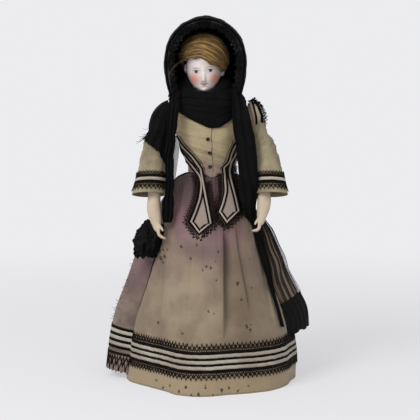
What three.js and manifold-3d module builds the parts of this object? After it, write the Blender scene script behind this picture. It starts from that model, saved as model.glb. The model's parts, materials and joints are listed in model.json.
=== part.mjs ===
// Shoulder head doll: a hollow bisque head and shoulder plate sewn to a stuffed cloth body with bisque
// forearms and booted legs, dressed in a trimmed jacket, trained skirt, petticoat and a black hooded scarf.
// Millimetres, +Z up. The doll faces -Y, and right and left are the doll's own, so its right arm is at -X.
import * as THREE from "three";
import { mergeVertices } from "three/addons/utils/BufferGeometryUtils.js";
import Module from "manifold-3d";

const wasm = await Module();
wasm.setup();

// Heights, each measured up from the one before it, starting at the floor
const soleToHip = 176;
const hipToWaist = 68;
const waistToBust = 30;
const bustToShoulder = 38;
const shoulderToChin = 22;
const chinToCrown = 61;
const crownToHoodTop = 25;

// Stuffed body: half widths and half depths
const hipHalfWidth = 33;
const hipHalfDepth = 25;
const waistHalfWidth = 21.5;
const waistHalfDepth = 17.5;
const bustHalfWidth = 29.5;
const bustHalfDepth = 22;
const shoulderHalfWidth = 40;
const shoulderHalfDepth = 17;
const neckRadius = 12.5;
const bisqueWall = 3;
const plateDrop = 21;
const plateGap = 1;
const wrapGap = 1.8;

// Sideways stance of the doll, which leans a little
const waistSway = 7;
const shoulderSway = 4;
const headSway = -2;
const hoodSway = -0.7;
const hipSway = 2;
const hemSway = 3;

// Head: half width at the temples, face and back of the head from the neck's centre
const headHalfWidth = 20.8;
const faceDepth = 27;
const backOfHeadDepth = 31;
const noseProjection = 4.5;
const crownOpening = 9;
const pateDepth = 3;
const wigThickness = 6;
const wigGap = 1.2;

// Arms, from the shoulder line downwards, and how far they hang forward at rest
const armHangAngle = THREE.MathUtils.degToRad(17);
const shoulderHubRadius = 8;
const shoulderHubDrop = 7;
const upperArmLength = 56;
const forearmLength = 89;
const upperArmRadius = 8.6;
const forearmRadius = 7.6;
const wristRadius = 4.3;
const handHalfWidth = 4.9;
const palmHalfDepth = 3.2;
const handTurn = 10;
const sleeveLength = 92;
const sleeveCapHalfWidth = 10.6;
const sleeveCapHalfDepth = 13.5;
const cuffHalfWidth = 20;
const cuffHalfDepth = 17;
const bindingHeight = 6;
const sleeveSeat = 2;
const sleeveLean = 4;
const sleeveTop = 22;
const armOffset = 16.5;
const shoulderOffset = 12;

// Legs
const legSpacing = 32;
const thighRadius = 13;
const thighLength = 88;
const bootLength = 40;
const bootHalfWidth = 8.5;

// Clothes
const fit = 0.4;
const cotton = 0.8;
const silk = 1.1;
const ribbon = 0.8;
const scarf = 1.4;
const skirtHemHalfWidth = 99;
const skirtHemFront = 97;
const skirtHemBack = 110;
const petticoatInset = 11;
const petticoatRise = 5;
const waistbandHeight = 8;
const hemBandHeight = 19.5;
const lowerLaceHeight = 6.3;
const upperLaceHeight = 9;
const ribbonHeight = 2.6;
const ribbonGap = 3.8;
const skirtRibbonCount = 4;
const trainLift = 21;
const trainRise = 6;
const trainHemBand = 3;
const trainTopDrop = 3;
const trainFolds = 9;
const trainFoldDepth = 2.6;
const tabWidth = 23;
const rightTabDrop = 68;
const leftTabDrop = 56;
const rightTabCentre = -4.5;
const leftTabCentre = 25.5;
const tabLean = -2;
const tabLaceWidth = 4.5;
const necklineRise = 5;
const armholeRoom = 1.5;
const cuffHem = 4.5;
const sleeveLaceHeight = 6.5;
const sleeveTrimHeight = 6;
const sleeveStripe = 4.4;
const epauletteTop = 15;
const epauletteDrop = 27;
const buttonRadius = 2.2;
const buttonHeight = 1.8;
const buttonCount = 3;
const buttonPitch = 15.5;
const firstButtonRise = 4;

// Black scarf worn as a hood
const hoodHalfWidth = 48.2;
const hoodBottomHalfWidth = 43;
const hoodArchHeight = 52;
const hoodThickness = 2.1;
const hoodFront = 31;
const hoodBack = 46;
const hoodLaceWidth = 7;
const drapeTop = 14;
const drapeDrop = 48;
const tailWidth = 15;
const tailSetIn = 1.8;
const tailTuck = 1.8;
const tailClearance = 2.4;
const leftTailBottom = 67;
const tailBendRise = 56;
const bowRadius = 13;
const netBottom = 85;
const netTopRise = 20;
const netFlare = 32;
const netBorderHeight = 22;

// Facets
const skirtSides = 48;
const trainSides = 36;
const bodySides = 24;
const sleeveSides = 16;
const limbSides = 12;

const hipHeight = soleToHip;
const waistHeight = hipHeight + hipToWaist;
const bustHeight = waistHeight + waistToBust;
const shoulderHeight = bustHeight + bustToShoulder;
const pivotHeight = shoulderHeight - shoulderHubDrop;
const chinHeight = shoulderHeight + shoulderToChin;
const crownHeight = chinHeight + chinToCrown;
const hoodTopHeight = crownHeight + crownToHoodTop;

// Places round the doll are shares of a turn, anticlockwise from its left side
const frontTurn = 0.75;
const tailTurn = 0.935;
const bowTurn = 0.54;
const netStartTurn = 0.965;
const netEndTurn = 1.02;
const trainStartTurn = 0.12;

const full = 2 * Math.PI;
const lerp = THREE.MathUtils.lerp;
const clamp = THREE.MathUtils.clamp;
const point = (x, y, z) => new THREE.Vector3(x, y, z);

// Smooth curve through [at, value] stations that never overshoots them
function through(...stations) {
  const slopes = stations.slice(1).map(([at, value], i) => {
    const [startAt, startValue] = stations[i];
    return (value - startValue) / (at - startAt);
  });
  const tangents = stations.map((_, i) => {
    const before = slopes[Math.max(i - 1, 0)];
    const after = slopes[Math.min(i, slopes.length - 1)];
    return before * after <= 0 ? 0 : (2 * before * after) / (before + after);
  });
  return (at) => {
    if (at <= stations[0][0]) return stations[0][1];
    const i = stations.findIndex(([end]) => at < end) - 1;
    if (i < 0) return stations.at(-1)[1];
    const span = stations[i + 1][0] - stations[i][0];
    const t = (at - stations[i][0]) / span;
    const rest = 1 - t;
    return (
      (1 + 2 * t) * rest * rest * stations[i][1] +
      t * rest * rest * span * tangents[i] +
      t * t * (3 - 2 * t) * stations[i + 1][1] -
      t * t * rest * span * tangents[i + 1]
    );
  };
}

// A closed triangle mesh from points and faces, with shared points merged and empty faces dropped
function closedMesh(points, faces) {
  const loose = new THREE.BufferGeometry().setFromPoints(points);
  loose.setIndex(faces.flat());
  const merged = mergeVertices(loose, 1e-4);
  const index = merged.index.array;
  const kept = [];
  for (let i = 0; i < index.length; i += 3) {
    const [a, b, c] = index.slice(i, i + 3);
    if (a !== b && b !== c && c !== a) kept.push(a, b, c);
  }
  return merged.setIndex(kept);
}

// Joins rings of points into a solid. Each ring runs anticlockwise as seen from the end of the stack.
// The stack closes on itself where loop is set, and is capped by fans, or across a cloth's two sides.
function stack(rings, { loop = false, twoSided = false } = {}) {
  const sides = rings[0].length;
  const points = rings.flat();
  const faces = [];
  const at = (ring, side) => (ring % rings.length) * sides + (side % sides);
  const spans = loop ? rings.length : rings.length - 1;
  for (let k = 0; k < spans; k++) {
    for (let i = 0; i < sides; i++) {
      faces.push([at(k, i), at(k, i + 1), at(k + 1, i + 1)]);
      faces.push([at(k, i), at(k + 1, i + 1), at(k + 1, i)]);
    }
  }
  if (!loop) {
    for (const [ring, flip] of [[0, true], [rings.length - 1, false]]) {
      const cap = twoSided ? clothCap(ring, sides, at) : fanCap(rings[ring], ring, sides, at, points);
      faces.push(...cap.map(([a, b, c]) => (flip ? [a, c, b] : [a, b, c])));
    }
  }
  return closedMesh(points, faces);
}

function fanCap(ring, ringIndex, sides, at, points) {
  const centre = ring.reduce((sum, p) => sum.add(p), point(0, 0, 0)).divideScalar(sides);
  const centreIndex = points.push(centre) - 1;
  return ring.map((_, i) => [centreIndex, at(ringIndex, i), at(ringIndex, i + 1)]);
}

function clothCap(ring, sides, at) {
  const cap = [];
  for (let i = 0; i < sides / 2 - 1; i++) {
    const back = sides - 1 - i;
    cap.push([at(ring, i), at(ring, i + 1), at(ring, back - 1)]);
    cap.push([at(ring, i), at(ring, back - 1), at(ring, back)]);
  }
  return cap;
}

// Outward normal of surface(u, v), whose u runs anticlockwise and v runs up
function normalOf(surface, u, v) {
  const step = 1e-3;
  const along = surface(u + step, v).sub(surface(u - step, v));
  const up = surface(u, v + step).sub(surface(u, v - step));
  return along.cross(up).normalize();
}

const lifted = (surface, distance) => (u, v) =>
  surface(u, v).addScaledVector(normalOf(surface, u, v), distance);

// The same, moved out level, so that an edge cut flat stays flat
const widened = (surface, distance) => (u, v) =>
  surface(u, v).addScaledVector(normalOf(surface, u, v).setZ(0).normalize(), distance);

const row = (surface, v, sides) => Array.from({ length: sides }, (_, i) => surface(i / sides, v));
const steps = (count) => Array.from({ length: count + 1 }, (_, i) => i / count);

// A tube of cloth whose inside follows surface, with rings at the given places from 0 to 1
function clothTube(surface, thickness, sides, places, raise = lifted) {
  const outside = raise(surface, thickness);
  const outer = places.map((v) => row(outside, v, sides));
  const inner = places.map((v) => row(surface, v, sides));
  return stack([...outer, ...inner.reverse()], { loop: true });
}

// A panel of cloth whose inside follows surface, for u and v from 0 to 1
function clothPanel(surface, thickness, across, places) {
  const outside = lifted(surface, thickness);
  const rings = places.map((v) => {
    const outer = steps(across).map((u) => outside(u, v));
    const inner = steps(across).map((u) => surface(u, v));
    return [...outer, ...inner.reverse()];
  });
  return stack(rings, { twoSided: true });
}

// Exact joins and cuts
function solidOf(geometry) {
  const bare = new THREE.BufferGeometry();
  bare.setAttribute("position", geometry.getAttribute("position"));
  bare.setIndex(geometry.index);
  const merged = mergeVertices(bare, 1e-4);
  return new wasm.Manifold(new wasm.Mesh({
    numProp: 3,
    vertProperties: merged.attributes.position.array,
    triVerts: new Uint32Array(merged.index.array),
  }));
}

function geometryOf(solid) {
  const mesh = solid.getMesh();
  return new THREE.BufferGeometry()
    .setAttribute("position", new THREE.BufferAttribute(mesh.vertProperties, 3))
    .setIndex(new THREE.BufferAttribute(mesh.triVerts, 1));
}

const joined = (a, b) => geometryOf(solidOf(a).add(solidOf(b)));
const cut = (a, b) => geometryOf(solidOf(a).subtract(solidOf(b)));

// A round bar along X from one place to another
function crossBar(radius, from, to, height) {
  const bar = new THREE.CylinderGeometry(radius, radius, to - from, limbSides);
  return bar.rotateZ(Math.PI / 2).translate((from + to) / 2, 0, height);
}

// Finishes
const finish = (color, roughness) => new THREE.MeshStandardMaterial({ color, roughness, metalness: 0 });
const bisque = finish(0xe6dccb, 0.55);
const cork = finish(0x9a7448, 0.9);
const mohair = finish(0x8a6a3a, 0.8);
const muslin = finish(0xd8cdb8, 0.95);
const thread = finish(0xb9ab90, 0.9);
const taupeSilk = finish(0xa39480, 0.7);
const velvet = finish(0x14110f, 0.95);
const lace = finish(0x241f1a, 0.9);
const blackSilk = finish(0x100f10, 0.8);
const blackNet = finish(0x2a2a2c, 0.9);
const horn = finish(0x2c1a10, 0.4);

const doll = new THREE.Group();

function place(name, geometry, material, parent = doll) {
  const mesh = new THREE.Mesh(geometry, material);
  mesh.name = name;
  parent.add(mesh);
  return mesh;
}

// Body line: sideways centre, half width and half depth at each height
const swayAt = through([hipHeight, hipSway], [waistHeight, waistSway],
  [shoulderHeight, shoulderSway], [chinHeight, headSway]);
const torsoBottom = hipHeight + thighRadius + fit;
const torsoTop = shoulderHeight + 13;
const halfWidthAt = through([torsoBottom, hipHalfWidth * 0.8], [hipHeight + 30, hipHalfWidth],
  [waistHeight, waistHalfWidth], [bustHeight, bustHalfWidth], [pivotHeight, shoulderHalfWidth],
  [shoulderHeight, shoulderHalfWidth - 1], [torsoTop, neckRadius - bisqueWall]);
const halfDepthAt = through([torsoBottom, hipHalfDepth * 0.8], [hipHeight + 30, hipHalfDepth],
  [waistHeight, waistHalfDepth], [bustHeight, bustHalfDepth], [shoulderHeight, shoulderHalfDepth],
  [torsoTop, neckRadius - bisqueWall]);

const onBody = (u, z) => point(
  swayAt(z) + halfWidthAt(z) * Math.cos(full * u),
  halfDepthAt(z) * Math.sin(full * u),
  z,
);
const bodyBetween = (bottom, top) => (u, v) => onBody(u, lerp(bottom(u), top(u), v));
const flat = (z) => () => z;

// How far each layer stands off the stuffed body
const plateLift = plateGap;
const bodiceLift = plateLift + bisqueWall + plateGap;
const wrapLift = bodiceLift + silk + wrapGap;
const armPlane = shoulderHalfWidth + bodiceLift + silk + fit;

function makeTorso() {
  const hips = [torsoBottom, hipHeight + 22, hipHeight + 34];
  const waist = [-12, -8, -4, 0, 20].map((above) => waistHeight + above);
  const chest = [bustHeight, bustHeight + 12, pivotHeight];
  const neck = [shoulderHeight, shoulderHeight + 5, shoulderHeight + 10, torsoTop];
  const rows = [...hips, ...waist, ...chest, ...neck];
  place("torso", stack(rows.map((z) => row(onBody, z, bodySides))), muslin);
}

// Head outline by height: half width, and front and back from the neck's centre
const neckHeight = chinHeight - 8;
const openingHeight = crownHeight - crownOpening;
const headWidthAt = through([neckHeight, neckRadius], [chinHeight + 3, neckRadius],
  [chinHeight + 8, headHalfWidth * 0.8], [chinHeight + 14, headHalfWidth * 0.92],
  [chinHeight + 25, headHalfWidth], [chinHeight + 38, headHalfWidth * 0.98],
  [openingHeight, headHalfWidth * 0.72], [crownHeight - 3, headHalfWidth * 0.42], [crownHeight, 0]);
const faceAt = through([neckHeight, neckRadius], [chinHeight - 3, neckRadius + 1],
  [chinHeight + 1, faceDepth * 0.85], [chinHeight + 8, faceDepth * 0.95], [chinHeight + 14, faceDepth],
  [chinHeight + 25, faceDepth * 0.97], [chinHeight + 37, faceDepth],
  [openingHeight, faceDepth * 0.7], [crownHeight - 3, faceDepth * 0.36], [crownHeight, 0]);
const backAt = through([neckHeight, neckRadius], [chinHeight, neckRadius],
  [chinHeight + 8, backOfHeadDepth * 0.58], [chinHeight + 18, backOfHeadDepth * 0.84],
  [chinHeight + 32, backOfHeadDepth], [openingHeight, backOfHeadDepth * 0.7],
  [crownHeight - 3, backOfHeadDepth * 0.4], [crownHeight, 0]);
const noseAt = through([chinHeight + 10, 0], [chinHeight + 13, noseProjection], [chinHeight + 24, 0]);

function onHead(u, z, inset = 0) {
  const side = Math.sin(full * u);
  const depth = side < 0 ? faceAt(z) : backAt(z);
  const nose = Math.abs(u - frontTurn) < 1e-3 && inset === 0 ? noseAt(z) : 0;
  return point(
    headSway + Math.max(headWidthAt(z) - inset, 0) * Math.cos(full * u),
    Math.max(depth - inset, 0) * side - nose,
    z,
  );
}

function makeShoulderHead() {
  const plateEdge = (u) => shoulderHeight + 2 - plateDrop * Math.sin(full * u) ** 2;
  const plate = bodyBetween(plateEdge, flat(torsoTop - 3));
  const plateRows = steps(4);
  const faceRows = [-3, 1, 8, 13, 18, 24, 34, 44].map((above) => chinHeight + above);
  const headRows = [neckHeight, ...faceRows, openingHeight];
  const shell = (lift, inset) => [
    ...plateRows.map((v) => row(lifted(plate, lift), v, bodySides)),
    ...headRows.map((z) => row((u) => onHead(u, z, inset), z, bodySides)),
  ];
  const outside = shell(plateLift + bisqueWall, 0);
  const inside = shell(plateLift, bisqueWall);
  place("shoulder_head", stack([...outside, ...inside.reverse()], { loop: true }), bisque);
  const rim = openingHeight + fit;
  const plugEdge = (u, z) => onHead(u, openingHeight, bisqueWall + fit).setZ(z);
  const plug = [openingHeight - pateDepth, rim].map((z) => row(plugEdge, z, bodySides));
  const cap = [rim, crownHeight - 3, crownHeight - fit].map((z) => row(onHead, z, bodySides));
  place("cork_pate", stack([...plug, ...cap]), cork);
}

function makeWig() {
  const hairline = (u) => {
    const front = Math.max(-Math.sin(full * u), 0);
    const back = Math.max(Math.sin(full * u), 0);
    return chinHeight + 17 + 20 * front ** 1.5 - 8 * back;
  };
  const besideNose = 0.002;
  const scalp = (u, v) => {
    const z = lerp(hairline(u), crownHeight - 0.01, Math.sin((v * Math.PI) / 2));
    return onHead(u === frontTurn ? u + besideNose : u, z);
  };
  const rows = [0, 0.15, 0.3, 0.5, 0.7, 0.85, 0.96];
  const thickness = (v) => wigThickness * (0.35 + 0.65 * Math.min(v / 0.3, 1));
  const inner = rows.map((v) => row(lifted(scalp, wigGap), v, bodySides)).reverse();
  const outer = rows.map((v) => row(lifted(scalp, wigGap + thickness(v)), v, bodySides));
  const top = (height) => Array.from({ length: bodySides }, () => point(headSway, 0, height));
  const rings = [top(crownHeight + wigGap), ...inner, ...outer, top(crownHeight + wigGap + wigThickness)];
  place("wig", stack(rings), mohair);
}

// Skirt: flares from the waist to the hem, with a train at the back
const skirtTop = waistHeight - waistbandHeight / 2 - fit;
const bandLift = fit + cotton + fit;
const flareAt = through([0, 0], [0.03, 0.2], [0.07, 0.27], [0.145, 0.33], [0.335, 0.47], [0.535, 0.67],
  [0.725, 0.87], [1, 1]);
const frontFlareAt = through([0, 0], [0.07, 0.21], [0.145, 0.3], [0.335, 0.47], [0.535, 0.67],
  [0.725, 0.87], [1, 1]);
const dropAt = (z) => (skirtTop - z) / skirtTop;
const foldStrength = through([0.04, 0], [0.4, 1], [1, 1]);
const smooth = THREE.MathUtils.smoothstep;

// The hem's outline as a share of a plain oval: flat at the right front, then a rounded corner, then full
const hemOutline = through([0.474, 1], [0.56, 0.94], [0.62, 0.9], [0.66, 0.94], [0.7, 1.05], [0.73, 1.08],
  [0.77, 1.03], [0.79, 1], [0.865, 1.03], [0.94, 0.99], [1, 0.99], [1.1, 1]);
const outlineStrength = through([0.1, 0], [0.6, 0.8], [1, 1]);
const leftFullness = 0.07;
const fullnessAt = through([0.5, 0], [0.8, 1], [0.86, 1], [1, 0.3]);
const backPleats = 11;
const pleatDepth = 0.035;

// The skirt's outline without its folds, as a share of a plain oval
function skirtOutline(u, drop) {
  const turn = (((u - 0.1) % 1) + 1) % 1 + 0.1;
  const bulge = leftFullness * fullnessAt(drop) * Math.max(Math.cos(full * turn), 0) ** 2;
  return 1 + outlineStrength(drop) * (hemOutline(turn) - 1) + bulge;
}

function skirtPleats(u, drop) {
  const behind = 0.5 + 0.5 * Math.sin(full * u);
  return foldStrength(drop) * pleatDepth * behind * Math.cos(backPleats * full * u);
}

// Folds down the front: each steps in past a line that leans with height, then comes slowly back out
const foldFade = 30;
const foldLeanFrom = 165;
const foldEdge = 1.2;
const foldRidge = 0.35;
const foldRidgeSpread = 1.6;
const frontFolds = [
  { line: 19.4, lean: 0, way: 1, depth: 6, width: 15, bottom: 58, top: 188 },
  { line: 36, lean: 0.16, way: 1, depth: 4, width: 9, bottom: 80, top: 196 },
  { line: -46, lean: -0.12, way: -1, depth: 3, width: 10, bottom: 58, top: 188 },
];

function frontCrease(u, x, z) {
  const facing = smooth(-Math.sin(full * u), 0, 0.3);
  return frontFolds.reduce((sum, fold) => {
    const past = (x - fold.line - fold.lean * (foldLeanFrom - z)) * fold.way;
    const above = smooth(z, fold.bottom, fold.bottom + foldFade);
    const below = smooth(-z, -fold.top, foldFade - fold.top);
    const inside = smooth(past, -foldEdge, foldEdge);
    const ridge = foldRidge * Math.exp(Math.min(past, 0) / (foldRidgeSpread * fold.width)) * (1 - inside);
    const dip = Math.exp(-Math.max(past, 0) / fold.width) * inside;
    return sum + facing * above * below * fold.depth * (ridge - dip);
  }, 0);
}

function onSkirt(u, z, inset = 0, folded = true) {
  const drop = dropAt(z);
  const flare = flareAt(drop);
  const side = Math.sin(full * u);
  const aside = Math.cos(full * u);
  const startWidth = halfWidthAt(skirtTop) + bandLift;
  const startDepth = halfDepthAt(skirtTop) + bandLift;
  const hemDepth = side < 0 ? skirtHemFront : skirtHemBack;
  const flareOut = side < 0 ? frontFlareAt(drop) : flare;
  const middle = lerp(swayAt(skirtTop), hemSway, flare);
  const reach = lerp(startWidth, skirtHemHalfWidth, flare);
  const size = skirtOutline(u, drop) + (folded ? skirtPleats(u, drop) : 0);
  const out = folded ? frontCrease(u, middle + reach * aside, z) - inset : 0;
  const depth = lerp(startDepth, hemDepth, flareOut) * size + out;
  return point(middle + (reach * size + out) * aside, depth * side, z);
}
const skirtBetween = (bottom, top) => (u, v) => onSkirt(u, lerp(bottom, top, v));
const skirtLift = (u, z, lift) => lifted((a, b) => onSkirt(a, b * skirtTop), lift)(u, z / skirtTop);

// Rings lie closer together near the waist, where the skirt flares fastest
const skirtRings = [0, 0.15, 0.3, 0.45, 0.6, 0.73, 0.83, 0.89, 0.935, 0.97, 1];

function makeSkirt() {
  const skirt = clothTube(skirtBetween(0, skirtTop), silk, skirtSides, skirtRings, widened);
  place("skirt", skirt, taupeSilk);
  const band = (name, from, height, material) => {
    const under = lifted(skirtBetween(from, from + height), silk + fit);
    place(name, clothTube(under, ribbon, skirtSides, [0, 1]), material);
  };
  band("skirt_lace_lower", hemBandHeight, lowerLaceHeight, lace);
  const firstRibbon = hemBandHeight + lowerLaceHeight + fit;
  for (let i = 0; i < skirtRibbonCount; i++) {
    band(`skirt_ribbon_${i + 1}`, firstRibbon + i * (ribbonHeight + ribbonGap), ribbonHeight, velvet);
  }
  const ribbonsTop = firstRibbon + skirtRibbonCount * (ribbonHeight + ribbonGap) - ribbonGap;
  band("skirt_lace_upper", ribbonsTop + fit, upperLaceHeight, lace);
}

function makeUnderclothes() {
  const insetAt = through([0, cotton + fit], [0.03, petticoatInset * 0.5], [0.14, petticoatInset]);
  const petticoat = (u, v) => {
    const z = lerp(petticoatRise, skirtTop, v);
    return onSkirt(u, z, insetAt(dropAt(z)));
  };
  const rings = [0, 0.3, 0.56, 0.7, 0.8, 0.88, 0.935, 0.97, 1];
  place("petticoat", clothTube(petticoat, cotton, bodySides, rings, widened), muslin);
  const bandBottom = waistHeight - waistbandHeight / 2;
  const band = bodyBetween(flat(bandBottom), flat(bandBottom + waistbandHeight));
  place("skirt_waistband", clothTube(lifted(band, bandLift), silk, bodySides, [0, 1]), taupeSilk);
}

// The overskirt hangs round the back, with its free edge at the doll's right side
function makeOverskirt() {
  const endTurn = through([0, 0.535], [skirtTop * 0.4, 0.525], [skirtTop * 0.65, 0.505], [skirtTop, 0.5]);
  const top = skirtTop - trainTopDrop;
  const standOff = through([0, 0.6], [0.8, 0.95], [0.9, 1], [0.95, 0.64], [1, 0.15]);
  const smoothSkirt = (u, v) => onSkirt(u, v * skirtTop, 0, false);
  const onTrain = (u, z, over) => {
    const fold = (trainFoldDepth * Math.cos(full * trainFolds * u) * (1 - smooth(u, 0.75, 0.9))) / trainLift;
    const lift = silk + fit + trainLift * foldStrength(dropAt(z)) * (standOff(u) + fold);
    return lifted(smoothSkirt, lift + over)(lerp(trainStartTurn, endTurn(z), u), z / skirtTop);
  };
  const train = (u, v) => onTrain(u, lerp(trainRise, top, v), 0);
  const trainRings = [0, 0.15, 0.3, 0.45, 0.6, 0.73, 0.83, 0.89, 0.94, 0.98, 1];
  place("overskirt", clothPanel(train, silk, trainSides, trainRings), taupeSilk);
  const laceBottom = trainRise + trainHemBand;
  const trim = (u, v) => onTrain(u, laceBottom + v * upperLaceHeight, silk + fit);
  place("overskirt_lace", clothPanel(trim, ribbon, trainSides, [0, 1]), lace);
}

// Jacket: fitted bodice, buttons, and two pointed tabs that hang over the skirt's front
const bodiceBottom = waistHeight - 2;

function makeBodice() {
  const chest = bodyBetween(flat(bodiceBottom), flat(shoulderHeight + necklineRise));
  const rings = [0, 0.18, 0.36, 0.54, 0.7, 0.82, 0.9, 0.95, 1];
  const shell = clothTube(lifted(chest, bodiceLift), silk, bodySides, rings);
  const armhole = crossBar(shoulderHubRadius + armholeRoom, -2 * armPlane, 2 * armPlane, pivotHeight);
  place("bodice", cut(shell, armhole), taupeSilk);
  for (let i = 0; i < buttonCount; i++) {
    const z = bustHeight + firstButtonRise - i * buttonPitch;
    const cap = new THREE.CylinderGeometry(buttonRadius * 0.7, buttonRadius, buttonHeight, limbSides);
    const button = place(`button_${i + 1}`, cap, horn);
    button.position.copy(lifted(onBody, bodiceLift + silk + 1.5 * fit + buttonHeight / 2)(frontTurn, z));
    button.quaternion.setFromUnitVectors(point(0, 1, 0), normalOf(onBody, frontTurn, z));
  }
}

// A place on the skirt's front by sideways distance and height
function onSkirtFront(x, z, lift) {
  const drop = dropAt(z);
  const centre = lerp(swayAt(skirtTop), hemSway, flareAt(drop));
  const reach = lerp(halfWidthAt(skirtTop) + bandLift, skirtHemHalfWidth, flareAt(drop));
  const turn = frontTurn + Math.asin(clamp((x - centre) / reach, -0.95, 0.95)) / full;
  return skirtLift(turn, z, lift);
}

const tabLift = silk + 2 * fit;

function makeTab(side, outer, centre, drop) {
  const top = bodiceBottom - fit;
  const corner = 0.2;
  const halfWidth = through([0, 0.4], [corner, tabWidth / 2], [0.62, tabWidth * 0.27], [1, tabWidth * 0.2]);
  const middle = (v) => centre + tabLean * (1 - v);
  const height = (v) => lerp(top - drop, top, v);
  const tab = (u, v) => onSkirtFront(middle(v) + (2 * u - 1) * halfWidth(v), height(v), tabLift);
  place(`${side}_tab`, clothPanel(tab, silk, 4, steps(10)), taupeSilk);
  // Lace runs down the outer edge, round the point and up to the inner corner
  const cornerAt = 0.6;
  const pointAt = 0.8;
  const laceTop = 0.9;
  const edge = (s) => {
    const beyond = corner * Math.abs(s - pointAt) / (pointAt - cornerAt);
    const v = s < cornerAt ? lerp(laceTop, corner, s / cornerAt) : beyond;
    const sideways = s < pointAt ? outer : -outer;
    return [middle(v) + sideways * halfWidth(v), height(v)];
  };
  const edging = (u, v) => {
    const s = outer < 0 ? u : 1 - u;
    const [x, z] = edge(s);
    const [beforeX, beforeZ] = edge(Math.max(s - 0.02, 0));
    const [afterX, afterZ] = edge(Math.min(s + 0.02, 1));
    const run = Math.hypot(afterX - beforeX, afterZ - beforeZ);
    const awayX = outer * (beforeZ - afterZ) / run;
    const awayZ = outer * (afterX - beforeX) / run;
    const out = 2 * fit + (1 - v) * tabLaceWidth;
    return onSkirtFront(x + awayX * out, z + awayZ * out, tabLift);
  };
  place(`${side}_tab_lace`, clothPanel(edging, ribbon, 20, [0, 1]), lace);
}

// Arms are built for the left side, with the armhole's plane at x = 0, and mirrored for the right
const capStart = -5;
const capWaist = 8;
const capBend = 16;
const sleeveWidthAt = through([-sleeveLength, cuffHalfWidth], [-sleeveLength * 0.52, cuffHalfWidth * 0.76],
  [capStart, sleeveCapHalfWidth], [capWaist, sleeveCapHalfWidth * 0.9],
  [capBend, sleeveCapHalfWidth * 0.62], [sleeveTop, 0]);
const sleeveDepthAt = through([-sleeveLength, cuffHalfDepth], [-sleeveLength * 0.43, cuffHalfDepth * 0.86],
  [capStart, sleeveCapHalfDepth], [capWaist, sleeveCapHalfDepth * 0.9],
  [capBend, sleeveCapHalfDepth * 0.62], [sleeveTop, 0]);
const sleeveMiddleAt = through([-sleeveLength, cuffHalfWidth + sleeveLean],
  [-sleeveLength * 0.52, cuffHalfWidth * 0.76 + sleeveSeat + 1],
  [capStart, sleeveCapHalfWidth + sleeveSeat], [sleeveTop, sleeveCapHalfWidth]);
const onSleeve = (u, z) => point(
  sleeveMiddleAt(z) + sleeveWidthAt(z) * Math.cos(full * u),
  sleeveDepthAt(z) * Math.sin(full * u),
  z,
);
const sleeveBetween = (bottom, top) => (u, v) => onSleeve(u, lerp(bottom, top, v));

function makeSleeve(side, arm) {
  const rows = [-sleeveLength, -sleeveLength * 0.52, capStart, capWaist, capBend];
  const outer = [...rows, sleeveTop - 2].map((z) => row(onSleeve, z, sleeveSides));
  const inner = [...rows, sleeveTop - 4].map((z) => row(lifted(onSleeve, -silk), z, sleeveSides));
  const end = (z) => outer[0].map(() => point(sleeveMiddleAt(sleeveTop), 0, z));
  const shell = stack([end(sleeveTop - silk - 1), ...inner.reverse(), ...outer, end(sleeveTop)]);
  const armhole = crossBar(shoulderHubRadius + fit, -armPlane, shoulderOffset, 0);
  place(`${side}_sleeve`, cut(shell, armhole), taupeSilk, arm);
  const trim = (name, from, height, material) => {
    const under = lifted(sleeveBetween(from, from + height), fit);
    place(`${side}_sleeve_${name}`, clothTube(under, ribbon, sleeveSides, [0, 1]), material, arm);
  };
  const laceBottom = cuffHem - sleeveLength;
  const ribbonBottom = laceBottom + sleeveLaceHeight + fit;
  trim("lace_lower", laceBottom, sleeveLaceHeight, lace);
  trim("ribbon_lower", ribbonBottom, ribbonHeight, velvet);
  trim("trim_upper", ribbonBottom + ribbonHeight + sleeveStripe, sleeveTrimHeight, lace);
  const epaulette = (u, v) => onSleeve(lerp(-0.34, 0.3, u), epauletteTop - (1 - v) * epauletteDrop);
  const raised = lifted(epaulette, 2 * fit);
  place(`${side}_epaulette`, clothPanel(raised, silk, 10, steps(4)), taupeSilk, arm);
}

// Thread wound round the joint between cloth and bisque
function binding(radius, x, bottom) {
  const wound = (u, v) => point(
    x + radius * Math.cos(full * u),
    radius * Math.sin(full * u),
    bottom + v * bindingHeight,
  );
  return clothTube(wound, ribbon, limbSides, [0, 1]);
}

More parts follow.
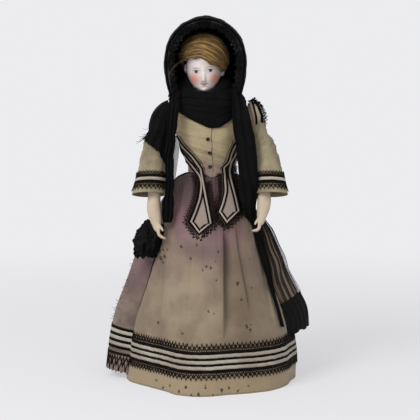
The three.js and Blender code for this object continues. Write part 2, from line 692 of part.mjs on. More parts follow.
function makeArm(side, mirror) {
  const arm = new THREE.Group();
  arm.position.set(swayAt(pivotHeight) + mirror * armPlane, 0, pivotHeight);
  arm.rotation.x = -armHangAngle;
  arm.scale.x = mirror;
  doll.add(arm);
  const middle = armOffset;
  const hubEnd = shoulderHalfWidth + fit - armPlane;
  const wrist = -upperArmLength - forearmLength * 0.72;
  const tip = -upperArmLength - forearmLength;
  const oval = ([z, x, width, depth]) =>
    row((u) => point(x + width * Math.cos(full * u), depth * Math.sin(full * u), z), z, limbSides);
  const limb = (...rings) => stack(rings.map(oval));
  const upper = limb(
    [-upperArmLength, middle, upperArmRadius, upperArmRadius],
    [-upperArmLength * 0.5, (middle + shoulderOffset) / 2, upperArmRadius, upperArmRadius + 0.8],
    [0, shoulderOffset, upperArmRadius * 0.86, upperArmRadius],
    [8, shoulderOffset - 0.5, upperArmRadius * 0.6, upperArmRadius * 0.6],
  );
  const hub = crossBar(shoulderHubRadius, hubEnd, shoulderOffset, 0);
  place(`${side}_upper_arm`, joined(upper, hub), muslin, arm);
  const elbow = -upperArmLength - fit;
  const forearm = limb(
    [tip, middle - handTurn, handHalfWidth * 0.33, palmHalfDepth * 0.4],
    [lerp(tip, wrist, 0.12), middle - handTurn * 0.94, handHalfWidth * 0.6, palmHalfDepth * 0.62],
    [lerp(tip, wrist, 0.43), middle - handTurn * 0.7, handHalfWidth, palmHalfDepth * 0.88],
    [lerp(tip, wrist, 0.7), middle - handTurn * 0.5, handHalfWidth, palmHalfDepth],
    [wrist, middle - handTurn * 0.36, wristRadius, wristRadius],
    [lerp(wrist, elbow, 0.24), middle - handTurn * 0.14, forearmRadius * 0.8, forearmRadius * 0.8],
    [lerp(wrist, elbow, 0.52), middle, forearmRadius, forearmRadius],
    [elbow, middle, forearmRadius, forearmRadius],
  );
  place(`${side}_forearm`, forearm, bisque, arm);
  const bindingRadius = Math.max(upperArmRadius, forearmRadius) + fit;
  place(`${side}_arm_binding`, binding(bindingRadius, middle, elbow - bindingHeight / 2), thread, arm);
  makeSleeve(side, arm);
  return arm;
}

// The scarf's end lies over the right sleeve and moves with that arm
function makeShoulderDrape(arm) {
  const over = (u, v) => onSleeve(lerp(0.66, 1.2, u), drapeTop - (1 - v) * drapeDrop);
  const raised = lifted(over, 5 * fit + silk);
  place("right_shoulder_drape", clothPanel(raised, scarf, 14, steps(5)), blackSilk, arm);
}

function makeLeg(side, mirror) {
  const leg = new THREE.Group();
  leg.position.set(swayAt(hipHeight) + (mirror * legSpacing) / 2, 0, hipHeight);
  doll.add(leg);
  const oval = ([z, width, front, back]) => row((u) => {
    const side = Math.sin(full * u);
    return point(width * Math.cos(full * u), (side < 0 ? front : back) * side, z);
  }, z, limbSides);
  const knee = -thighLength;
  const kneeRadius = thighRadius * 0.7;
  const ball = [-30, -5, 25, 50, 75].map((angle) => {
    const tilt = THREE.MathUtils.degToRad(angle);
    const radius = thighRadius * Math.cos(tilt);
    return [thighRadius * Math.sin(tilt), radius, radius, radius];
  });
  const thigh = [
    [knee, kneeRadius, kneeRadius, kneeRadius],
    [knee * 0.6, thighRadius * 0.92, thighRadius * 0.95, thighRadius * 0.95],
    ...ball,
  ];
  place(`${side}_thigh`, stack(thigh.map(oval)), muslin, leg);
  const calfTop = knee - fit;
  const calfRadius = thighRadius * 0.64;
  const sole = -hipHeight;
  const heel = bootLength * 0.3;
  const toe = bootLength - heel;
  const lowerLeg = [
    [sole, bootHalfWidth, toe, heel],
    [sole + 5, bootHalfWidth, toe - 1, heel],
    [sole + 11, bootHalfWidth * 0.9, toe * 0.72, heel * 0.95],
    [sole + 22, bootHalfWidth * 0.8, heel * 0.75, heel * 0.75],
    [sole + 50, bootHalfWidth * 1.1, heel * 0.85, heel * 0.95],
    [calfTop, calfRadius, calfRadius, calfRadius],
  ];
  place(`${side}_lower_leg`, stack(lowerLeg.map(oval)), bisque, leg);
  const bindingBottom = calfTop - bindingHeight * 0.6;
  place(`${side}_leg_binding`, binding(thighRadius * 0.74 + fit, 0, bindingBottom), thread, leg);
}

// Black scarf: a hood round the head, a wrap round the neck, and two hanging tails
const hoodMiddle = hoodTopHeight - hoodArchHeight;
const hoodBottom = chinHeight - 3;
const wrapDip = shoulderHeight - 10;
const wrapNape = bustHeight + 12;
const wrapPoint = bustHeight + 17;
const wrapSide = shoulderHeight + 3;
const wrapEdge = through([0.25, wrapNape], [0.5, wrapSide], [0.55, wrapSide - 1], [0.6, wrapDip],
  [0.65, wrapDip + 4], [frontTurn, wrapPoint], [0.85, wrapDip + 4], [0.9, wrapDip], [0.95, wrapSide - 1],
  [1, wrapSide], [1.25, wrapNape]);
const wrapEdgeAt = (u) => wrapEdge(0.25 + ((((u - 0.25) % 1) + 1) % 1));

function makeNeckWrap() {
  const edge = (u) => lifted(onBody, wrapLift)(u, wrapEdgeAt(u));
  const wrap = (u, v) => {
    const bottom = edge(u);
    const side = Math.sin(full * u);
    const ring = (width, depth, z) => point(swayAt(z) + width * Math.cos(full * u), depth * side, z);
    const belly = ring(hoodHalfWidth - 3, side < 0 ? faceDepth + 9 : hoodBack - 4, chinHeight - 14);
    const top = ring(hoodHalfWidth - 7, side < 0 ? faceDepth + 5 : hoodBack - 5, hoodBottom - 3 * fit);
    const along = clamp(v, 0, 1);
    const at = new THREE.QuadraticBezierCurve3(bottom, belly, top).getPoint(along);
    return at.add(point(0, 0, v - along));
  };
  place("neck_wrap", clothTube(wrap, scarf, bodySides, steps(5)), blackSilk);
}

// The hood's rim is an arch on two upright legs, and its back closes like a dome
function hoodPoint(u, v, inset = 0) {
  const legShare = 0.16;
  const leg = Math.min(u, 1 - u);
  const turn = Math.PI * (1 - clamp((u - legShare) / (1 - 2 * legShare), 0, 1));
  const straight = 0.35;
  const back = Math.max((v - straight) / (1 - straight), 0) * (Math.PI / 2);
  const size = v < straight ? lerp(0.95, 1, v / straight) : Math.cos(back);
  const y = v < straight ? lerp(-hoodFront, 0, v / straight) : (hoodBack - inset) * Math.sin(back);
  const rise = (hoodTopHeight - hoodMiddle - inset) * size * Math.sin(turn);
  const down = Math.max(1 - leg / legShare, 0);
  const width = (lerp(hoodHalfWidth, hoodBottomHalfWidth, down ** 2) - inset) * size;
  const height = hoodMiddle + rise - (hoodMiddle - hoodBottom) * down;
  return point(hoodSway + width * Math.cos(turn), y, height);
}

function makeHood() {
  const rows = [0, 0.18, 0.35, 0.52, 0.68, 0.84, 1];
  const across = steps(22);
  const rings = rows.map((v) => [
    ...across.map((u) => hoodPoint(u, v)),
    ...across.map((u) => hoodPoint(u, v, hoodThickness)).reverse(),
  ]);
  place("hood", stack(rings, { twoSided: true }), blackSilk);
  const reachBack = hoodLaceWidth / (hoodFront + hoodBack);
  const frill = (u, v) => hoodPoint(u, lerp(0.02, 0.02 + reachBack, v), hoodThickness + fit + ribbon);
  place("hood_lace", clothPanel(frill, ribbon, 22, [0, 1]), lace);
}

// A strip of cloth whose middle follows a curve and whose width lies along the skirt
function strip(points, widths, sideOf) {
  const curve = new THREE.CatmullRomCurve3(points, false, "centripetal");
  return (u, v) => {
    const along = clamp(v, 0, 1);
    const middle = curve.getPoint(along);
    const width = widths(along);
    return middle.addScaledVector(sideOf(along), (u - 0.5) * width).add(point(0, 0, v - along));
  };
}

function makeTails() {
  const middle = swayAt(pivotHeight);
  const tail = (side, mirror, onSkirtPoints) => {
    const x = middle + mirror * (armPlane - tailSetIn - tailWidth / 2);
    const hang = -bustHalfDepth - wrapLift;
    const edgeTurn = frontTurn + mirror * 0.15;
    const start = lifted(onBody, wrapLift)(edgeTurn, wrapEdgeAt(edgeTurn));
    const hanging = [
      point(x, hang - 4, hipHeight + tailBendRise),
      point(x, hang - 2, bustHeight),
      point(x, start.y, wrapDip + tailTuck),
    ];
    const points = [...onSkirtPoints, ...hanging];
    const leavesSkirt = (onSkirtPoints.length - 1) / (points.length - 1);
    const turn = through([0, 65], [leavesSkirt, 65], [leavesSkirt + 0.15, 0], [0.85, 0], [1, 36]);
    const sideOf = (v) => {
      const angle = THREE.MathUtils.degToRad(mirror * turn(v));
      return point(Math.cos(angle), Math.sin(angle), 0);
    };
    const widths = through([0, tailWidth * 0.7], [0.45, tailWidth], [1, tailWidth]);
    const cloth = clothPanel(strip(points, widths, sideOf), scarf, 4, steps(18));
    place(`${side}_scarf_tail`, cloth, blackSilk);
  };
  const clear = silk + fit + tailClearance;
  tail("right", -1, [skirtLift(0.56, hipHeight + 6, clear), skirtLift(0.6, hipHeight + 22, clear)]);
  const leftHeights = steps(6).map((v) => lerp(leftTailBottom, hipHeight + 12, v));
  tail("left", 1, leftHeights.map((z) => skirtLift(tailTurn, z, clear)));
}

function makeBow() {
  const seat = skirtLift(bowTurn, hipHeight - 20, bowRadius * 1.1 + silk + 4 * fit);
  const bow = new THREE.SphereGeometry(bowRadius, limbSides, 8).scale(1.15, 1, 1.5);
  place("right_scarf_bow", bow.translate(seat.x, seat.y, seat.z), blackSilk);
}

function makeNet() {
  const top = hipHeight + netTopRise;
  const borderTop = netBottom - fit;
  const flareAtHeight = through([0, netFlare], [top, netFlare * 0.06]);
  const net = (from, to) => (u, v) => {
    const z = lerp(from, to, v);
    return skirtLift(lerp(netStartTurn, netEndTurn, u), z, silk + 2 * fit + u * flareAtHeight(z));
  };
  const border = net(borderTop - netBorderHeight, borderTop);
  place("left_net_panel", clothPanel(net(netBottom, top), ribbon, 8, steps(9)), blackNet);
  place("left_net_border", clothPanel(border, scarf, 8, steps(2)), blackSilk);
}

makeTorso();
makeShoulderHead();
makeWig();
makeUnderclothes();
makeSkirt();
makeOverskirt();
makeBodice();
makeTab("right", -1, rightTabCentre, rightTabDrop);
makeTab("left", 1, leftTabCentre, leftTabDrop);
const rightArm = makeArm("right", -1);
makeArm("left", 1);
makeShoulderDrape(rightArm);
makeLeg("right", -1);
makeLeg("left", 1);
makeNeckWrap();
makeHood();
makeTails();
makeBow();
makeNet();

// The origin is on the floor, under the middle of the doll's footprint
const part = new THREE.Group();
part.add(doll);
part.updateMatrixWorld(true);
const reach = new THREE.Box3().setFromObject(doll, true);
doll.position.set(-(reach.min.x + reach.max.x) / 2, -(reach.min.y + reach.max.y) / 2, 0);

export default part;
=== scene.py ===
"""Looks of the shoulder head doll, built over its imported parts. The doll faces -Y and +Z is up."""
import json
import logging
import math
from dataclasses import dataclass, field
from enum import Enum
from typing import Callable

import bmesh
import bpy
import numpy as np
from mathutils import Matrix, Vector


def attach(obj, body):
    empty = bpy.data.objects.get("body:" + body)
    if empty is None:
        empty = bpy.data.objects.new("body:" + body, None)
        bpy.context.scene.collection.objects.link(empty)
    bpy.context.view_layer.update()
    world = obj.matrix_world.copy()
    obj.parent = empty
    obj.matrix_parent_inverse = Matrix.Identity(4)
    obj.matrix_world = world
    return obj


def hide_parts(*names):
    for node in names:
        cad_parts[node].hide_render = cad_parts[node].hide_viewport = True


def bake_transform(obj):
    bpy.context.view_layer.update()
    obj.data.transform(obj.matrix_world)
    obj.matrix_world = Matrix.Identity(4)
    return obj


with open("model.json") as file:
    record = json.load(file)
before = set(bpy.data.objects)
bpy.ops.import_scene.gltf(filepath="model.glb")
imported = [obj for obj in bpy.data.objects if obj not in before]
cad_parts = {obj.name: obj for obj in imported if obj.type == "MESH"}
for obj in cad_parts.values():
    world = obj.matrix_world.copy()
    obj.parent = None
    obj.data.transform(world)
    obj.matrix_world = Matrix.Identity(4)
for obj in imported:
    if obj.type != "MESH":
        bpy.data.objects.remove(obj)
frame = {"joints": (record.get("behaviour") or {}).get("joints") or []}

log = logging.getLogger("shoulder_head_doll")

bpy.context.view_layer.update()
JOINTS = {joint["name"]: np.array(joint["pos_m"]) for joint in frame["joints"]}

# Sizes below are millimetres in the doll's own frame, whose origin is under the neck
MM = 0.001
FULL = 2 * math.pi
FRONT = 0.75
SIDES = {"right": -1, "left": 1}
HIP_SWAY = 2
HIP_MIDDLE = (JOINTS["right_hip"] + JOINTS["left_hip"]) / 2
SHIFT = HIP_MIDDLE * np.array([1, 1, 0]) - np.array([HIP_SWAY * MM, 0, 0])

Array = np.ndarray
Colour = tuple[int, int, int]
Pair = tuple[float, float]
Triple = tuple[float, float, float]
Value = np.ndarray | float
Curve = Callable[[Value], Array]
# A surface takes places across and along it and gives points, mostly of the doll's frame
Surface = Callable[[Array, Array], Array]
BMesh = bmesh.types.BMesh
Socket = bpy.types.NodeSocket


def vec(x: Value, y: Value, z: Value) -> Array:
    """Points from their three coordinates."""
    return np.stack(np.broadcast_arrays(x, y, z), axis=-1).astype(float)


def unit(at: Value) -> Array:
    """A value held between 0 and 1."""
    return np.clip(at, 0, 1)


def cosine(turn: Value) -> Array:
    """The cosine of a share of a turn."""
    return np.cos(FULL * turn)


def sine(turn: Value) -> Array:
    """The sine of a share of a turn."""
    return np.sin(FULL * turn)


def lerp(start: Value, end: Value, share: Value) -> Array:
    """A value part of the way from start to end."""
    return start + (end - start) * share


def rise(at: Array, start: float, end: float) -> Array:
    """A smooth step from 0 at start to 1 at end; end may lie below start."""
    share = unit((at - start) / (end - start))
    return share * share * (3 - 2 * share)


def bump_at(at: Array, middle: float, width: float) -> Array:
    """A rounded bump of height 1."""
    return np.exp(-(((at - middle) / width) ** 2))


def wobble(at: Array, seed: float) -> Array:
    """Repeatable unevenness between about -1 and 1, with a period near 1."""
    waves = ((0.5, 1), (0.3, 1.73), (0.2, 2.91))
    return sum(share * np.sin(FULL * pace * at + seed * (9.1 * pace + 1.7)) for share, pace in waves)


def through(stations: dict[float, float]) -> Curve:
    """Fits a smooth curve that never overshoots.

    Args:
        stations: the value at each place, in order.

    Returns:
        The curve, level beyond its ends.
    """
    places, values = np.array(list(stations.items()), float).T
    slopes = np.diff(values) / np.diff(places)
    before, after = np.r_[slopes[0], slopes], np.r_[slopes, slopes[-1]]
    product = before * after
    total = np.where(product > 0, before + after, 1)
    tangents = np.where(product > 0, 2 * product / total, 0)

    def curve(at: Array) -> Array:
        """The curve's value at a place."""
        at = np.clip(at, places[0], places[-1])
        i = np.clip(np.searchsorted(places, at, side="right") - 1, 0, len(slopes) - 1)
        span = places[i + 1] - places[i]
        t = (at - places[i]) / span
        rest = 1 - t
        ends = (1 + 2 * t) * rest**2 * values[i] + t**2 * (3 - 2 * t) * values[i + 1]
        return ends + t * rest * span * (rest * tangents[i] - t * tangents[i + 1])

    return curve


def normal_of(surface: Surface, u: Array, v: Array) -> Array:
    """Outward normals of a surface, u running anticlockwise and v up.

    Args:
        surface: the surface.
        u: places across it.
        v: places along it.

    Returns:
        Unit normals.
    """
    step = 1e-3
    along = surface(u + step, v) - surface(u - step, v)
    up = surface(u, v + step) - surface(u, v - step)
    across = np.cross(along, up)
    return across / np.maximum(np.linalg.norm(across, axis=-1, keepdims=True), 1e-12)


def lifted(surface: Surface, distance: Value | Surface) -> Surface:
    """The surface moved out by a distance, which may vary.

    Args:
        surface: the surface.
        distance: how far, in one value or by place.

    Returns:
        The moved surface.
    """
    def out(u: Array, v: Array) -> Array:
        """The lifted points."""
        by = distance(u, v) if callable(distance) else np.broadcast_to(distance, np.shape(u))
        return surface(u, v) + normal_of(surface, u, v) * by[..., None]
    return out


def in_frame(points: Array) -> Array:
    """Points in the row frame, in metres."""
    return points * MM + SHIFT


def linear(colour: Colour) -> tuple[float, ...]:
    """A colour as seen on a screen, made linear."""
    shares = [part / 255 for part in colour]
    return (*(c / 12.92 if c <= 0.04045 else ((c + 0.055) / 1.055) ** 2.4 for c in shares), 1)


class Slot(Enum):
    """Material slots of the record."""
    BISQUE = "bisque"
    CORK = "cork"
    MOHAIR = "mohair"
    MUSLIN = "muslin"
    THREAD = "thread"
    DRESS = "dress_silk"
    VELVET = "velvet_ribbon"
    LACE = "black_lace"
    SCARF = "black_silk"
    NET = "black_net"
    HORN = "horn"


class Nodes:
    """A node tree that is filled in step by step."""

    def __init__(self, tree: bpy.types.NodeTree) -> None:
        """Takes over a tree."""
        self.tree = tree

    def first(self, kind: str) -> bpy.types.Node:
        """The tree's first node of a type."""
        return next(node for node in self.tree.nodes if node.type == kind)

    def add(self, kind: str, values: dict | None = None, **settings: object) -> bpy.types.Node:
        """Adds a node.

        Args:
            kind: the node's type.
            values: what its inputs hold, or the sockets that feed them.
            settings: its properties.

        Returns:
            The node.
        """
        node = self.tree.nodes.new(f"ShaderNode{kind}")
        for name, value in settings.items():
            setattr(node, name, value)
        for key, value in (values or {}).items():
            self.feed(node.inputs[key], value)
        return node

    def feed(self, socket: Socket, value: object) -> None:
        """Sets an input, which takes a colour as seen on a screen, or links a socket to it."""
        if isinstance(value, Socket):
            self.tree.links.new(value, socket)
        else:
            socket.default_value = linear(value) if socket.type == "RGBA" else value

    def math(self, operation: str, first: object, second: object = 0) -> Socket:
        """One arithmetic step."""
        return self.add("Math", {0: first, 1: second}, operation=operation).outputs[0]

    def seen(self) -> Socket:
        """1 where the camera looks straight, or by way of gloss or glass, else 0."""
        rays = self.add("LightPath").outputs
        bent = self.math("MAXIMUM", rays["Is Glossy Ray"], rays["Is Transmission Ray"])
        return self.math("MAXIMUM", rays["Is Camera Ray"], bent)


class Graph(Nodes):
    """The node graph of one material."""

    def __init__(self, name: str) -> None:
        """Starts a material with one Principled shader."""
        self.material = bpy.data.materials.new(name)
        self.material.use_nodes = True
        super().__init__(self.material.node_tree)
        self.shader = self.first("BSDF_PRINCIPLED")
        places = self.add("TexCoord")
        self.place, self.cloth = places.outputs["Object"], places.outputs["UV"]

    def shade(self, **values: object) -> None:
        """Sets the shader's inputs, named with underscores for spaces."""
        for name, value in values.items():
            self.feed(self.shader.inputs[name.replace("_", " ")], value)

    def noise(self, scale: float, detail: float = 3, stretch: tuple | None = None, at: Socket | None = None) -> Socket:
        """Soft noise.

        Args:
            scale: blotches to the metre.
            detail: how many finer layers it has.
            stretch: scale along each axis, for streaks.
            at: the coordinates it is drawn in, where they aren't plain.

        Returns:
            The noise's value.
        """
        at = at or self.place
        if stretch:
            at = self.add("Mapping", {"Vector": at, "Scale": stretch}).outputs[0]
        values = {"Vector": at, "Scale": scale, "Detail": detail}
        return self.add("TexNoise", values).outputs["Fac"]

    def range(self, value: object, low: float, high: float, to_low: float = 0, to_high: float = 1) -> Socket:
        """Maps a value smoothly from one range to another."""
        values = {"Value": value, "From Min": low, "From Max": high, "To Min": to_low, "To Max": to_high}
        return self.add("MapRange", values, interpolation_type="SMOOTHSTEP").outputs["Result"]

    def mix(self, share: object, first: object, second: object) -> Socket:
        """Mixes two colours."""
        values = {0: share, 6: first, 7: second}
        return self.add("Mix", values, data_type="RGBA").outputs[2]

    def height(self) -> Socket:
        """Height above the floor, in metres."""
        return self.add("SeparateXYZ", {0: self.place}).outputs["Z"]

    def spot(self, middle: Pair, radii: Pair, soft: float = 0.25, turn: float = 0, at: Socket | None = None) -> Socket:
        """A painted oval, seen from the front.

        Args:
            middle: its x and z in the doll's frame.
            radii: its half width and half height.
            soft: how far its edge fades, as a share of its radius.
            turn: its tilt in degrees.
            at: the coordinates it is drawn in, where they aren't plain.

        Returns:
            Its strength, from 0 to 1.
        """
        through_depth = 1e3
        seat = in_frame(vec(middle[0], 0, middle[1]))
        values = {
            "Vector": at or self.place, "Location": tuple(seat), "Rotation": (0, math.radians(turn), 0),
            "Scale": (radii[0] * MM, through_depth, radii[1] * MM)}
        flat = self.add("Mapping", values, vector_type="TEXTURE").outputs[0]
        reach = self.add("VectorMath", {0: flat}, operation="LENGTH").outputs["Value"]
        return self.range(reach, 1 + soft, 1 - soft)

    def weave(self, pitch: float, strength: float, under: Socket) -> None:
        """Gives the shader crossed threads as relief.

        Args:
            pitch: the threads' spacing in metres.
            strength: how deep the relief looks.
            under: broader relief below the threads.
        """
        bands_to_metre = 0.314
        values = {"Vector": self.cloth, "Scale": bands_to_metre / pitch, "Distortion": 1.2, "Detail": 1}
        threads = [self.add("TexWave", values, bands_direction=way).outputs["Fac"] for way in ("X", "Y")]
        crossed = self.math("MAXIMUM", *threads)
        below = self.relief(under, 0.35, 0.0008)
        self.shade(Normal=self.relief(crossed, strength, pitch * 0.4, Normal=below))

    def relief(self, height: Socket, strength: float, depth: float, **more: Socket) -> Socket:
        """A bumped normal, over another one where that is given."""
        values = {"Height": height, "Strength": strength, "Distance": depth, **more}
        return self.add("Bump", values).outputs[0]


@dataclass(frozen=True)
class Oval:
    """One painted oval, seen from the front: face paint, stains and painted shade are all drawn with it."""
    middle: Pair
    radii: Pair
    colour: Colour
    strength: float = 1
    soft: float = 0.25
    turn: float = 0

    def over(self, graph: Graph, colour: Socket) -> Socket:
        """Lays the oval over a colour."""
        mark = graph.math("MULTIPLY", graph.spot(self.middle, self.radii, self.soft, self.turn), self.strength)
        return graph.mix(mark, colour, self.colour)


@dataclass(frozen=True)
class Finish:
    """A finish of the doll, made into one material the first time it is used."""
    name: str
    slot: Slot

    def material(self) -> bpy.types.Material:
        """The finish's material."""
        found = bpy.data.materials.get(self.name)
        if found:
            return found
        graph = Graph(self.name)
        self.paint(graph)
        return graph.material

    def paint(self, graph: Graph) -> None:
        """Fills in the material's nodes.

        Args:
            graph: the material's graph.
        """
        raise NotImplementedError


@dataclass(frozen=True)
class DressSilk(Finish):
    """Faded silk, mauve where the light hasn't reached and spotted with age; ovals and a darker band laid over it
    carry stains, tones and painted shade.
    """
    tint: Colour = (178, 163, 136)
    shade: Colour = (146, 129, 106)
    dye: Colour = (122, 94, 102)
    dyed: Pair = (0, 1)
    dye_share: float = 0
    # The darker band: deep gives the heights it runs between, and this is its colour. On the skirt it is painted shade
    # under the jacket; on the tabs it is a mauve-grey tone below the waist.
    shade_and_tone_colour: Colour = (68, 50, 54)
    deep: Pair = (0, 0)
    hem: Colour = (160, 143, 114)
    hem_top: float = 0
    spots: tuple[Triple, ...] = ()
    stains_and_shade: tuple[Oval, ...] = ()
    speckle: float = 0.8
    pitch: float = 0.0005

    def paint(self, graph: Graph) -> None:
        """Fills in the material's nodes."""
        mottle = graph.range(graph.noise(34, 4), 0.32, 0.68)
        colour = graph.mix(mottle, self.shade, self.tint)
        height = graph.height()
        if self.hem_top:
            edge = graph.range(height, (self.hem_top + 3) * MM, (self.hem_top - 3) * MM, 0, 0.85)
            colour = graph.mix(edge, colour, self.hem)
        if self.dye_share:
            streaks = graph.range(graph.noise(26, 3, (1, 1, 0.35)), 0.3, 0.62)
            high = graph.range(height, self.dyed[0] * MM, self.dyed[1] * MM, 0, self.dye_share)
            colour = graph.mix(graph.math("MULTIPLY", high, streaks), colour, self.dye)
        # The darker band by height: painted shade on the skirt, a tone on the tabs.
        if self.deep[1]:
            high = graph.range(height, self.deep[0] * MM, self.deep[1] * MM, 0, 0.9)
            colour = graph.mix(high, colour, self.shade_and_tone_colour)
        # Ovals of stains and of painted shade.
        for stain_and_shade_oval in self.stains_and_shade:
            colour = stain_and_shade_oval.over(graph, colour)
        colour = self.aged(graph, colour)
        fine = graph.noise(700, 2)
        colour = graph.mix(graph.range(fine, 0.35, 0.8, 0, 0.22), colour, self.shade)
        graph.shade(Base_Color=colour, Roughness=0.72, Sheen_Weight=0.12, Specular_IOR_Level=0.25)
        graph.weave(self.pitch, 0.3, graph.noise(120, 3, (1, 1, 0.5)))

    def aged(self, graph: Graph, colour: Socket) -> Socket:
        """Adds rust spots, both scattered and placed.

        Args:
            graph: the material's graph.
            colour: the cloth's colour so far.

        Returns:
            The spotted colour.
        """
        rust = (34, 23, 19)
        push = graph.add("TexNoise", {"Vector": graph.place, "Scale": 420, "Detail": 2})
        ragged = graph.add("VectorMath", {0: push.outputs["Color"], 1: (0.0044,) * 3, 2: graph.place},
                           operation="MULTIPLY_ADD").outputs[0]
        cells = graph.add("TexVoronoi", {"Vector": ragged, "Scale": 75})
        chance = graph.add("SeparateColor", {0: cells.outputs["Color"]}).outputs[0]
        near = graph.range(cells.outputs["Distance"], 0.1, 0.05)
        few = graph.range(chance, 0.76, 0.78, 0, self.speckle)
        colour = graph.mix(graph.math("MULTIPLY", near, few), colour, rust)
        for x, z, radius in self.spots:
            mark = graph.spot((x, z), (radius * 0.95, radius * 1.25), 0.5, at=ragged)
            colour = graph.mix(graph.math("MULTIPLY", mark, 0.92), colour, rust)
        return colour


@dataclass(frozen=True)
class BlackCloth(Finish):
    """Black scarf silk, velvet, lace or net."""
    body: Colour = (9, 9, 9)
    worn: Colour = (20, 19, 19)
    worn_share: float = 0.5
    roughness: float = 0.8
    pitch: float = 0.0006

    def paint(self, graph: Graph) -> None:
        """Fills in the material's nodes."""
        patches = graph.range(graph.noise(60, 5), 0.45, 0.75, 0, self.worn_share)
        colour = graph.mix(patches, self.body, self.worn)
        graph.shade(Base_Color=colour, Roughness=self.roughness, Specular_IOR_Level=0.08)
        graph.weave(self.pitch, 0.35, graph.noise(180, 3))


@dataclass(frozen=True)
class Bisque(Finish):
    """Unglazed china, with what is painted on it."""
    clay: Colour = (218, 210, 207)
    blush: Colour = (208, 194, 184)
    ovals: tuple = ()
    boot_top: float = 0

    def paint(self, graph: Graph) -> None:
        """Fills in the material's nodes."""
        colour = graph.mix(graph.range(graph.noise(70, 3), 0.35, 0.7), self.clay, self.blush)
        grain = graph.noise(900, 2)
        colour = graph.mix(graph.range(grain, 0.55, 0.75, 0, 0.1), colour, (170, 150, 138))
        if self.boot_top:
            boot = graph.range(graph.height(), (self.boot_top + 0.4) * MM, (self.boot_top - 0.4) * MM)
            colour = graph.mix(boot, colour, (38, 28, 24))
        for oval in self.ovals:
            colour = oval.over(graph, colour)
        graph.shade(Base_Color=colour, Roughness=0.5, Specular_IOR_Level=0.28,
                    Normal=graph.relief(grain, 0.05, 0.0002))


@dataclass(frozen=True)
class Fibre(Finish):
    """Hair, thread and stuffing cloth: two tones in streaks or in weave."""
    tint: Colour = (206, 194, 170)
    shade: Colour = (170, 155, 128)
    streak: Pair = (30, 30)
    roughness: float = 0.9
    pitch: float = 0.0008

    def paint(self, graph: Graph) -> None:
        """Fills in the material's nodes."""
        strands = graph.noise(1, 4, (*self.streak, 1), graph.cloth)
        share = graph.range(strands, 0.36, 0.64)
        broad = graph.range(graph.noise(90, 2), 0.35, 0.7, 0, 0.4)
        colour = graph.mix(broad, graph.mix(share, self.shade, self.tint), self.shade)
        graph.shade(Base_Color=colour, Roughness=self.roughness, Sheen_Weight=0.1, Specular_IOR_Level=0.25)
        graph.weave(self.pitch, 0.3, strands)


@dataclass(frozen=True)
class Grain(Finish):
    """Cork, horn and the studio's floor: blotches over a plain ground."""
    tint: Colour = (168, 128, 82)
    shade: Colour = (92, 62, 38)
    scale: float = 400
    roughness: float = 0.85

    def paint(self, graph: Graph) -> None:
        """Fills in the material's nodes."""
        blotch = graph.noise(self.scale, 4)
        colour = graph.mix(graph.range(blotch, 0.3, 0.75), self.tint, self.shade)
        graph.shade(Base_Color=colour, Roughness=self.roughness, Specular_IOR_Level=0.3,
                    Normal=graph.relief(blotch, 0.2, 0.0003))


@dataclass(frozen=True)
class Paper(Grain):
    """The studio's paper, evenly pale to the camera but for the doll's shadow."""
    even: float = 0.55
    near: float = 0.3
    far: float = 1.1

    def paint(self, graph: Graph) -> None:
        """Fills in the material's nodes."""
        super().paint(graph)
        away = graph.add("VectorMath", {0: graph.place}, operation="LENGTH").outputs["Value"]
        share = graph.range(away, self.near, self.far, self.even, 1)
        glow = graph.add("Emission", {"Color": self.tint, "Strength": 1})
        both = graph.add("MixShader", {
            0: graph.math("MULTIPLY", graph.seen(), share), 1: graph.shader.outputs[0], 2: glow.outputs[0]})
        graph.feed(graph.first("OUTPUT_MATERIAL").inputs["Surface"], both.outputs[0])


def sheet_mesh(surface: Surface, across: int, along: int, into: BMesh | None = None, closed: bool = False) -> BMesh:
    """Lays a grid on a surface.

    Args:
        surface: where u and v from 0 to 1 lie, in the doll's frame.
        across: squares along u.
        along: squares along v.
        into: a mesh to add the grid to.
        closed: whether u runs once round and its ends meet.

    Returns:
        The mesh, in the row frame, with a UV map of u and v.
    """
    bm = into or bmesh.new()
    bm.loops.layers.uv.verify()
    made = bmesh.ops.create_grid(bm, x_segments=across, y_segments=along, size=0.5, calc_uvs=True)["verts"]
    places = np.array([vert.co[:2] for vert in made]) + 0.5
    settle(made, surface(*places.T))
    if closed:
        bmesh.ops.remove_doubles(bm, verts=made, dist=1e-6)
    return bm


def ring_mesh(surface: Surface, across: int, along: int, into: BMesh | None = None) -> BMesh:
    """Lays a grid on a surface that closes on itself along u."""
    return sheet_mesh(surface, across, along, into, closed=True)


def settle(verts: list[bmesh.types.BMVert], points: Array) -> None:
    """Moves vertices to points of the doll's frame."""
    for vert, point in zip(verts, in_frame(points)):
        vert.co = point


def open_mesh(surface: Surface, across: int, along: int, thread: float) -> BMesh:
    """Net: a grid whose faces are opened so that only its threads, of that thickness, stay."""
    bm = sheet_mesh(surface, across, along)
    bmesh.ops.wireframe(
        bm, faces=bm.faces[:], thickness=thread * MM, use_replace=True, use_boundary=True, use_even_offset=False)
    return bm


